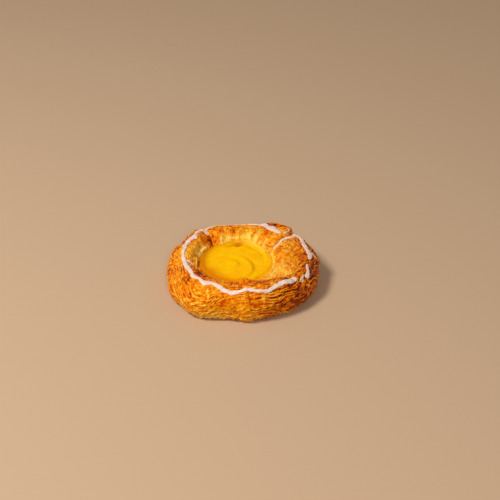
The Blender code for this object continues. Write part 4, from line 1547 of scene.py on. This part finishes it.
@dataclass
class Icing:
    """The drizzle: strands that lie over the dough, thick in the middle and rounded at their sides."""

    # The strands, each from one end to the other.
    strands: tuple[Strand, ...] = (
        Strand("ring", 0.0, (
            (326.6, 47.6, 2.0), (323.4, 47.6, 3.6), (316.4, 48.2, 5.2), (311.2, 47.6, 4.5),
            (303.8, 47.8, 3.9), (297.6, 48.6, 3.3), (293.2, 49.6, 3.2), (287.4, 48.8, 2.7),
            (282.8, 48.0, 2.9), (278.6, 46.9, 3.1), (274.6, 46.6, 3.1), (270.6, 47.0, 2.4),
            (265.8, 47.6, 3.2), (262.0, 48.3, 3.7), (258.4, 47.9, 3.8), (254.2, 47.1, 4.0),
            (249.6, 45.6, 3.4), (244.8, 44.6, 3.0), (240.4, 44.9, 4.6), (237.0, 46.3, 5.2),
            (232.6, 45.8, 3.4), (229.4, 44.8, 2.7), (224.8, 45.4, 3.1), (220.8, 45.7, 3.3),
            (215.8, 44.1, 3.3), (210.4, 43.7, 4.0), (202.0, 43.7, 3.8), (190.8, 43.4, 2.9),
            (184.8, 43.9, 2.7), (179.2, 44.1, 2.6), (170.8, 43.7, 2.6), (164.2, 44.9, 3.4),
            (158.4, 44.9, 3.8), (152.0, 44.7, 3.6), (146.2, 44.8, 4.0), (140.8, 46.2, 3.0),
            (135.2, 47.9, 3.0), (130.2, 49.0, 3.2), (126.0, 48.6, 3.0), (121.0, 49.8, 2.0),
            (112.0, 49.9, 1.4), (100.0, 49.3, 1.2), (88.0, 48.8, 1.2), (79.0, 48.0, 1.5), (73.8, 47.8, 2.0),
            (70.0, 48.6, 3.4), (65.6, 48.2, 4.6), (60.2, 46.4, 6.6), (53.8, 44.6, 5.4), (49.0, 44.4, 3.8),
            (45.2, 44.6, 2.2),
        )),
        Strand("right_arc", 0.1, (
            (41.4, 52.0, 4.2), (37.8, 52.8, 5.0), (34.0, 53.2, 4.2), (27.0, 51.9, 3.4), (19.4, 50.0, 3.6),
            (12.4, 49.7, 3.6), (8.6, 50.6, 4.2), (3.6, 50.9, 4.4), (-1.4, 50.3, 1.7),
        )),
        Strand("crossing", 0.8, ((47.0, 55.0, 1.4), (45.0, 49.7, 2.2), (43.4, 45.4, 1.6))),
        Strand("inner_arc", 0.35, (
            (36.6, 51.0, 3.4), (34.6, 47.8, 3.6), (35.6, 43.3, 3.4), (35.0, 39.5, 3.2), (31.2, 35.5, 2.8),
            (30.4, 32.5, 2.4), (30.0, 30.8, 1.6),
        )),
        Strand("side_run", 0.75, ((8.0, 51.6, 1.8), (7.6, 54.6, 2.0), (6.4, 56.4, 1.6))),
        Strand("drip", 0.1, (
            (-10.0, 49.1, 1.8), (-15.0, 50.1, 2.6), (-17.6, 51.3, 2.4), (-22.8, 52.2, 3.6),
            (-24.9, 53.1, 5.8),
        )),
        Strand("tail", 0.6, ((-24.4, 50.0, 1.4), (-28.8, 50.6, 2.4), (-33.4, 51.8, 4.2))),
        Strand("spur", 0.2, ((191.4, 42.4, 2.5), (193.6, 39.0, 2.2), (195.6, 37.2, 1.0))),
        Strand("blob_left", 0.0, ((146.0, 46.0, 2.8), (146.0, 43.6, 3.4), (147.4, 41.8, 2.4))),
        Strand("blob_back", 0.2, ((126.4, 47.8, 3.0), (126.6, 45.0, 4.2), (127.2, 42.6, 2.6))),
    )
    # Steps along in mm, points across, points of a path to each knot, and the stations among which a
    # distance is found, with how many there are.
    step: float = 0.35
    across: int = 17
    samples: int = 30
    stations: tuple[float, float] = (6.0, 11.6)
    table: int = 80
    # Thickness and depth in the dough in mm, the arch across, and the rounded ends.
    least_thickness: float = 0.48
    thickness_share: float = 0.1
    sunk: float = 0.6
    edge_sunk: float = 0.4
    skirt: float = 0.2
    arch_powers: tuple[float, float] = (4.5, 0.5)
    least_half: float = 0.3
    least_round: float = 0.02
    # How thin it looks at its sides, and at most in the middle.
    edge_thin: float = 0.8
    most_thin: float = 0.8
    edge_power: int = 6
    # How it settles on the crust: the steps it is smoothed over, how level it lies across, its range in
    # mm, how high it rides, and the share of a bump that shows through it.
    settling: int = 4
    levelled: float = 0.5
    settled_range: tuple[float, float] = (-0.6, 1.2)
    bedded: float = 0.15
    crust_share: float = 0.7
    # How its width, thickness, two sides and thinness vary.
    wobbles: tuple[Bumps, ...] = (Bumps(0.4, 3.6), Bumps(0.14, 1.6, 9.0))
    wobble_share: float = 0.5
    sides: tuple[Bumps, Bumps] = (Bumps(0.45, 2.0, 50.0), Bumps(0.45, 2.0, 90.0))
    patchy: Bumps = Bumps(1.5, 4.0, 5.0)
    thinned: float = 0.45
    noise: GradientNoise = field(default_factory=lambda: GradientNoise(29))

    def stations_at(self, angle: Array, distance: Array) -> Array:
        """The station on each bearing where the dough is that far from the axis.

        Args:
            angle: bearings in degrees.
            distance: ways from the axis in mm, one a bearing.

        Returns:
            Stations, read from a table that runs inwards.
        """
        table = np.linspace(*self.stations, self.table)
        reach = np.linalg.norm(FORM.shaped(angle[:, None], table)[0][..., :2], axis=-1)
        return np.array([np.interp(-out, -row, table) for out, row in zip(distance, reach)])

    def route(self, strand: Strand) -> tuple[Array, Array, Array]:
        """A smooth line through a strand's points, by Catmull-Rom cubics, in even steps of length.

        Args:
            strand: the strand.

        Returns:
            Angles, stations and widths along it.
        """
        knots = np.array(strand.path)
        padded = np.concatenate([2 * knots[:1] - knots[1:2], knots, 2 * knots[-1:] - knots[-2:-1]])
        fine = np.linspace(0, len(knots) - 1, self.samples * len(knots))
        index = np.minimum(fine.astype(int), len(knots) - 2)
        t = (fine - index)[:, None]
        a, b, c, d = (padded[index + shift] for shift in range(4))
        curve = 2 * b + (c - a) * t + (2 * a - 5 * b + 4 * c - d) * t**2 + (3 * b - a - 3 * c + d) * t**3
        angle, distance, width = curve.T / 2
        level = self.stations_at(angle, distance)
        points = FORM.shaped(angle, level)[0]
        length = length_along(points)
        even = np.linspace(0.0, length[-1], max(6, int(round(length[-1] / self.step)) + 1))
        return tuple(np.interp(even, length, values) for values in (angle, level, width))

    def spine(self, strand: Strand) -> Spine:
        """A strand's middle line, with its ends rounded off as half circles.

        Args:
            strand: the strand.

        Returns:
            The line, with its half width and its unevenness.
        """
        angle, level, width = self.route(strand)
        centre = FORM.shaped(angle, level)[0]
        wobble = self.noise.bumps(centre, *self.wobbles)
        length, half = length_along(centre), width / 2.0 * (1.0 + wobble)
        ends = np.minimum(length, length[-1] - length) / np.maximum(half, self.least_half)
        rounding = np.sqrt(1.0 - (1.0 - np.clip(ends, 0.0, 1.0)) ** 2)
        rounding = np.maximum(rounding, self.least_round)
        return Spine(angle, level, centre, half * rounding, wobble, rounding)

    def footprint(self, spine: Spine, v: Array) -> tuple[Array, Array]:
        """Lines across a strand, at right angles to it along the dough, with uneven sides.

        Args:
            spine: the strand's middle.
            v: from -1 to 1 across it.

        Returns:
            The angles and stations of their points, from the slopes of the dough's form there.
        """
        turn, rise = 0.5, 0.05
        along, lengths, ways = unit(np.gradient(spine.centre, axis=0)), [], []
        for more, higher in ((turn, 0.0), (0.0, rise)):
            ahead = FORM.shaped(spine.angle + more, spine.level + higher)[0]
            step = ahead - FORM.shaped(spine.angle - more, spine.level - higher)[0]
            lengths.append(np.linalg.norm(step, axis=1))
            ways.append(dot(along, step) / lengths[-1])
        size = np.hypot(*ways)
        left, right = (self.noise.bumps(spine.centre, side)[:, None] for side in self.sides)
        reach = spine.half[:, None] * v * (1 + np.where(v < 0, left, right) * np.abs(v))
        angles = spine.angle[:, None] - reach * (2 * turn * ways[1] / size / lengths[0])[:, None]
        return angles, spine.level[:, None] + reach * (2 * rise * ways[0] / size / lengths[1])[:, None]

    def settled(self, crust: Array) -> Array:
        """The level in mm that icing takes on the crust: smoothed along and across, over high bumps.

        Args:
            crust: how far the dough stands off its form, a row for each line across.

        Returns:
            One level for each point.
        """
        padded = np.pad(crust, ((self.settling, self.settling), (0, 0)), mode="edge")
        shifts = range(2 * self.settling + 1)
        smoothed = np.mean([padded[shift:shift + len(crust)] for shift in shifts], axis=0)
        mean = smoothed.mean(axis=1, keepdims=True)
        level = (1 - self.levelled) * smoothed + self.levelled * mean + self.bedded
        return np.maximum(np.clip(level, *self.settled_range), self.crust_share * crust)

    def sheet(self, strand: Strand, dough: Dough) -> tuple[Array, list[Numbers], Array]:
        """One strand as a closed skin: its top is a flattened arch over the dough, its underside sunk in it.

        The height across is thickness times (1 - |v|^4.5)^0.5, with v from -1 to 1; both ends round off.

        Args:
            strand: the strand.
            dough: the surface that it lies on.

        Returns:
            Points in mm, faces, and how thin the icing is at each point.
        """
        spine, v = self.spine(strand), np.linspace(-1.0, 1.0, self.across)
        base, normals, crust = dough.crust(*self.footprint(spine, v))
        settled, count = self.settled(crust), len(spine.angle)
        thickness = self.least_thickness + self.thickness_share * spine.half
        thickness = thickness * (1 + self.wobble_share * spine.wobble)
        thickness = (thickness * spine.rounding * (1 - self.thinned * strand.thinness))[:, None]
        inner, outer = self.arch_powers
        arch = np.clip(1 - np.abs(v) ** inner, 0.0, 1.0) ** outer
        sunk = self.sunk * (self.edge_sunk + (1 - self.edge_sunk) * arch) * spine.rounding[:, None]
        top = moved(base, normals, settled + thickness * arch - self.skirt * (1 - arch))
        under = moved(base, normals, settled - sunk)
        points = np.concatenate([top.reshape(-1, 3), under[:, 1:-1].reshape(-1, 3)])
        upper = np.arange(count * self.across).reshape(count, self.across)
        hidden = np.arange(count * (self.across - 2)).reshape(count, self.across - 2) + upper.size
        lower = np.concatenate([upper[:, :1], hidden, upper[:, -1:]], axis=1)
        under_faces = np.stack([lower[:-1, :-1], lower[:-1, 1:], lower[1:, 1:], lower[1:, :-1]], -1)
        faces = [grid_faces(count, self.across, False)[:, ::-1], under_faces.reshape(-1, 4)]
        faces += self.end_faces(upper[0], lower[0]) + self.end_faces(lower[-1], upper[-1])
        patchy = strand.thinness * (1 + self.noise.bumps(spine.centre, self.patchy))
        patchy = np.clip(patchy, 0.0, self.most_thin)[:, None]
        thin = np.clip(patchy + self.edge_thin * v**self.edge_power, 0.0, 1.0)
        return points, faces, np.concatenate([thin.ravel(), np.zeros(hidden.size)])

    def end_faces(self, first: Numbers, second: Numbers) -> list[Numbers]:
        """Quads that close one end between two lines of points that share both ends, and two triangles."""
        quads = strip_faces(first, second)
        return [quads[1:-1], quads[:1, :3], quads[-1:, [0, 1, 3]]]

    def build(self, dough: Dough, material: bpy.types.Material) -> None:
        """Makes every strand as one piece.

        Args:
            dough: the surface that the strands lie on.
            material: the icing's finish.
        """
        points, faces, thin, start = [], [], [], 0
        for strand in self.strands:
            made, groups, thinness = self.sheet(strand, dough)
            points.append(made)
            thin.append(thinness)
            faces += [group + start for group in groups]
            start += len(made)
        piece = MeshPiece("icing_drizzle", np.concatenate(points), faces, {"thin": np.concatenate(thin)})
        piece.build(material, "baked_dough", "pastry")


@dataclass
class Custard:
    """The custard: a disc on the well's floor, its top piped in a spiral with a small peak."""

    # The top in mm: its level, its dome, the spiral's and the low disc's middles, and the disc as radius,
    # side and rise.
    level: float = 17.7
    dome: float = 0.5
    swirl_centre: tuple[float, float] = (-8.0, -3.0)
    disc_centre: tuple[float, float] = (-8.0, -8.0)
    disc: tuple[float, float, float] = (15.0, 3.4, 1.5)
    # The spiral in mm and degrees, where it fades and is clearest, the ring on the disc's edge, how all
    # of them drift and ripple, and the peak.
    pitch: float = 10.5
    turned: float = -137.0
    lean: float = 1.8
    swirl: float = 0.9
    swirl_start: float = 3.0
    swirl_fade: tuple[float, float] = (10.0, 4.5)
    clearest: tuple[float, float, float] = (30.0, 85.0, 0.35)
    disc_crest: tuple[float, float, float] = (0.4, 1.5, 2.5)
    drift: Bumps = Bumps(1.5, 9.0)
    waves: tuple[Bumps, ...] = (Bumps(0.5, 6.0), Bumps(0.16, 2.0))
    peak: tuple[float, float] = (1.3, 1.9)
    # Ridges and hollows near the rim.
    ridges: tuple[Patch, ...] = (
        Patch(50, 0.84, 1.0, 34, 0.04), Patch(50, 0.75, -0.9, 34, 0.05), Patch(46, 0.93, 0.6, 30, 0.025),
        Patch(50, 0.89, -0.6, 30, 0.025), Patch(87, 0.75, -1.6, 6, 0.06), Patch(101, 0.75, -0.9, 8, 0.05),
    )
    # The rim: the share of the way over which the top meets it, its station, and its climb at the back as
    # bearing, spread and stations.
    rim_share: float = 0.1
    edge_station: float = 11.72
    back: tuple[float, float, float] = (78, 24, 0.7)
    # Painted shade at its rim and in hollows near its back, and where ropes of it look pale.
    shades: tuple[Patch, ...] = (
        Patch(196, 1.0, 1.5, 50, 0.22), Patch(262, 1.0, 0.8, 44, 0.07), Patch(125, 1.0, 0.8, 50, 0.18),
        Patch(86, 0.79, 1.0, 9, 0.07), Patch(101, 0.76, 0.5, 8, 0.05),
    )
    ropes: tuple[Patch, ...] = (Patch(46, 0.93, 0.9, 30, 0.018), Patch(52, 0.84, 0.8, 26, 0.018))
    # The grid, and how far it stays from the dough in mm.
    under_stations: tuple[float, ...] = (14.4, 13.6, 12.8, 12.2)
    columns: int = 420
    rows: int = 150
    inset: float = 0.25
    under_reach: float = 0.1
    noise: GradientNoise = field(default_factory=lambda: GradientNoise(43))

    def rim(self, angle: Array) -> Array:
        """The custard's edge, a little inside the dough, as steps from the well's centre.

        Args:
            angle: degrees about the well's centre.

        Returns:
            Points in mm.
        """
        at, spread, climb = self.back
        station = self.edge_station - climb * bell(turn_from(at, angle) / spread)
        points, normals = FORM.shaped(angle, station)
        return points - normals * self.inset - np.array([*FORM.well_centre, 0.0])

    def top(self, angle: Array, share: Array) -> Array:
        """The piped top: a low disc with a spiral of ridges on it and a peak, off the well's centre.

        With far the distance from the spiral's centre and turns = far / pitch + bearing / 360, less its whole
        part, the spiral's height is half of 1 - cos(360 turns^lean), so that each ridge leans outwards.

        Args:
            angle: degrees about the well's centre.
            share: the share of the way out to the rim, 0 to 1.

        Returns:
            Points in mm.
        """
        rim = self.rim(angle)
        x = FORM.well_centre[0] + share * rim[..., 0]
        y = FORM.well_centre[1] + share * rim[..., 1]
        flat = np.stack([x, y, 0.0 * x], -1)
        east, north = x - self.swirl_centre[0], y - self.swirl_centre[1]
        far, bearing = np.hypot(east, north), np.degrees(np.arctan2(north, east))
        drift = self.noise.bumps(flat, self.drift)
        turns = ((far + drift) / self.pitch + (bearing - self.turned) / FULL_TURN) % 1.0
        piping = 0.5 - 0.5 * np.cos(2 * np.pi * turns ** self.lean)
        at, spread, least = self.clearest
        clear = least + (1 - least) * bell(turn_from(at, bearing) / spread)
        start, reach = self.swirl_fade
        fade = smooth(far / self.swirl_start) * (1 - smooth((far - start) / reach))
        edge, soft, rise = self.disc
        out = np.hypot(x - self.disc_centre[0], y - self.disc_centre[1]) + drift - edge
        height = self.level + self.dome * (1 - share**2) + rise * (1 - smooth(out / soft))
        crest, inside, width = self.disc_crest
        height = height + (self.swirl * piping * fade + crest * bell((out + inside) / width)) * clear
        height = height + self.peak[0] * bell(far / self.peak[1]) + total(self.ridges, angle, share)
        height = height + self.noise.bumps(flat, *self.waves)
        joined = smooth(1 - (1 - share) / self.rim_share)
        return np.stack([x, y, height * (1 - joined) + rim[..., 2] * joined], -1)

    def build(self, material: bpy.types.Material) -> None:
        """Makes the custard as one closed piece that takes its CAD solid's place.

        Args:
            material: the custard's finish.
        """
        angle = np.arange(self.columns) * FULL_TURN / self.columns
        share = (1.0 - np.arange(self.rows) / self.rows)[:, None]
        under, normals = FORM.shaped(angle, np.array(self.under_stations)[:, None])
        rings = np.concatenate([under + normals * self.under_reach, self.top(angle, share)])
        points, faces = closed_rings(rings, FORM.floor_middle(), self.top(np.zeros(1), np.zeros(1))[0])
        values = {}
        # The attribute rim holds painted shade, full under the top where it never shows.
        for name, below, patches in (("rim", 1.0, self.shades), ("rope", 0.0, self.ropes)):
            grid = np.clip(total(patches, angle, share), 0.0, 1.0)
            values[name] = np.append(np.concatenate([np.full(under.shape[:2], below), grid]), [below, 0.0])
        piece = MeshPiece("custard_swirl", points, faces, values)
        piece.build(material, "custard", "custard")


@dataclass(frozen=True)
class Lamp:
    """A square soft light that faces the danish: its place and size in metres, power and colour."""

    name: str
    place: tuple[float, float, float]
    size: float
    power: float
    colour: Colour

    def build(self) -> None:
        """Makes the light."""
        data = bpy.data.lights.new(self.name, "AREA")
        data.energy, data.size, data.color = self.power, self.size, self.colour
        made = bpy.data.objects.new(self.name, data)
        made.location = self.place
        made.rotation_euler = (-Vector(self.place)).to_track_quat("-Z", "Y").to_euler()
        bpy.context.scene.collection.objects.link(made)


@dataclass(frozen=True)
class Studio:
    """The floor, the light and the camera at the photograph's angle."""

    # The lens and its sensor in mm, the camera's distance in metres and elevation in degrees, then the
    # photograph's size and where the base's middle is in it, in pixels.
    focal: float = 100.0
    sensor: float = 36.0
    distance: float = 1.053
    elevation: float = 31.2
    image: float = 500.0
    base_pixel: tuple[float, float] = (242.0, 283.0)
    # The floor in metres, the light from all round, and the lamps.
    floor_half: float = 3.0
    floor_drop: float = 0.0002
    floor_colour: Colour = tone(200, 176, 150)
    sky_colour: Colour = tone(255, 236, 218)
    sky_strength: float = 0.28
    lamps: tuple[Lamp, ...] = (
        Lamp("key", (-0.74, -0.34, 1.16), 0.36, 14.8, tone(255, 244, 230)),
        Lamp("front", (0.14, -1.25, 0.84), 0.3, 4.4, tone(255, 240, 226)),
    )

    def build(self) -> None:
        """Makes the camera, the floor and the lights."""
        scene = bpy.context.scene
        scene.view_settings.view_transform = "Standard"
        self.camera()
        self.floor()
        for lamp in self.lamps:
            lamp.build()
        world = bpy.data.worlds.new("studio")
        world.use_nodes = True
        background = world.node_tree.nodes["Background"]
        background.inputs["Color"].default_value = (*self.sky_colour, 1.0)
        background.inputs["Strength"].default_value = self.sky_strength
        scene.world = world

    def camera(self) -> None:
        """A long lens whose view puts the middle of the danish's base on its pixel in the photograph."""
        lens = self.image * self.focal / self.sensor
        tilt = math.radians(self.elevation)
        right = Vector((1.0, 0.0, 0.0))
        up = Vector((0.0, math.sin(tilt), math.cos(tilt)))
        back = Vector((0.0, -math.cos(tilt), math.sin(tilt)))
        off_x = (self.base_pixel[0] - self.image / 2) / lens
        off_y = (self.image / 2 - self.base_pixel[1]) / lens
        place = Vector(FORM.axis) * MM - (right * off_x + up * off_y - back) * self.distance
        data = bpy.data.cameras.new("camera")
        data.lens, data.sensor_width = self.focal, self.sensor
        made = bpy.data.objects.new("camera", data)
        made.matrix_world = Matrix((
            (right.x, up.x, back.x, place.x), (right.y, up.y, back.y, place.y),
            (right.z, up.z, back.z, place.z), (0.0, 0.0, 0.0, 1.0),
        ))
        bpy.context.scene.collection.objects.link(made)
        bpy.context.scene.camera = made

    def floor(self) -> None:
        """A plain pale floor just under the danish."""
        mesh = bpy.data.meshes.new("floor")
        half = self.floor_half
        corners = [(-half, -half), (half, -half), (half, half), (-half, half)]
        mesh.from_pydata([(x, y, -self.floor_drop) for x, y in corners], [], [(0, 1, 2, 3)])
        shader = Shader("floor")
        shader.set(Base_Color=self.floor_colour, Roughness=0.6)
        mesh.materials.append(shader.material)
        made = bpy.data.objects.new("floor", mesh)
        bpy.context.scene.collection.objects.link(made)


def main() -> None:
    logging.basicConfig(level=logging.INFO, format="%(message)s")
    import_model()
    Studio().build()
    dough = Dough()
    crust = BakedDough().material()
    dough.build(crust)
    Flakes().build(dough, crust)
    Icing().build(dough, SugarIcing().material())
    Custard().build(SetCustard().material())
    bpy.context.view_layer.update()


if __name__ == "__main__":
    main()
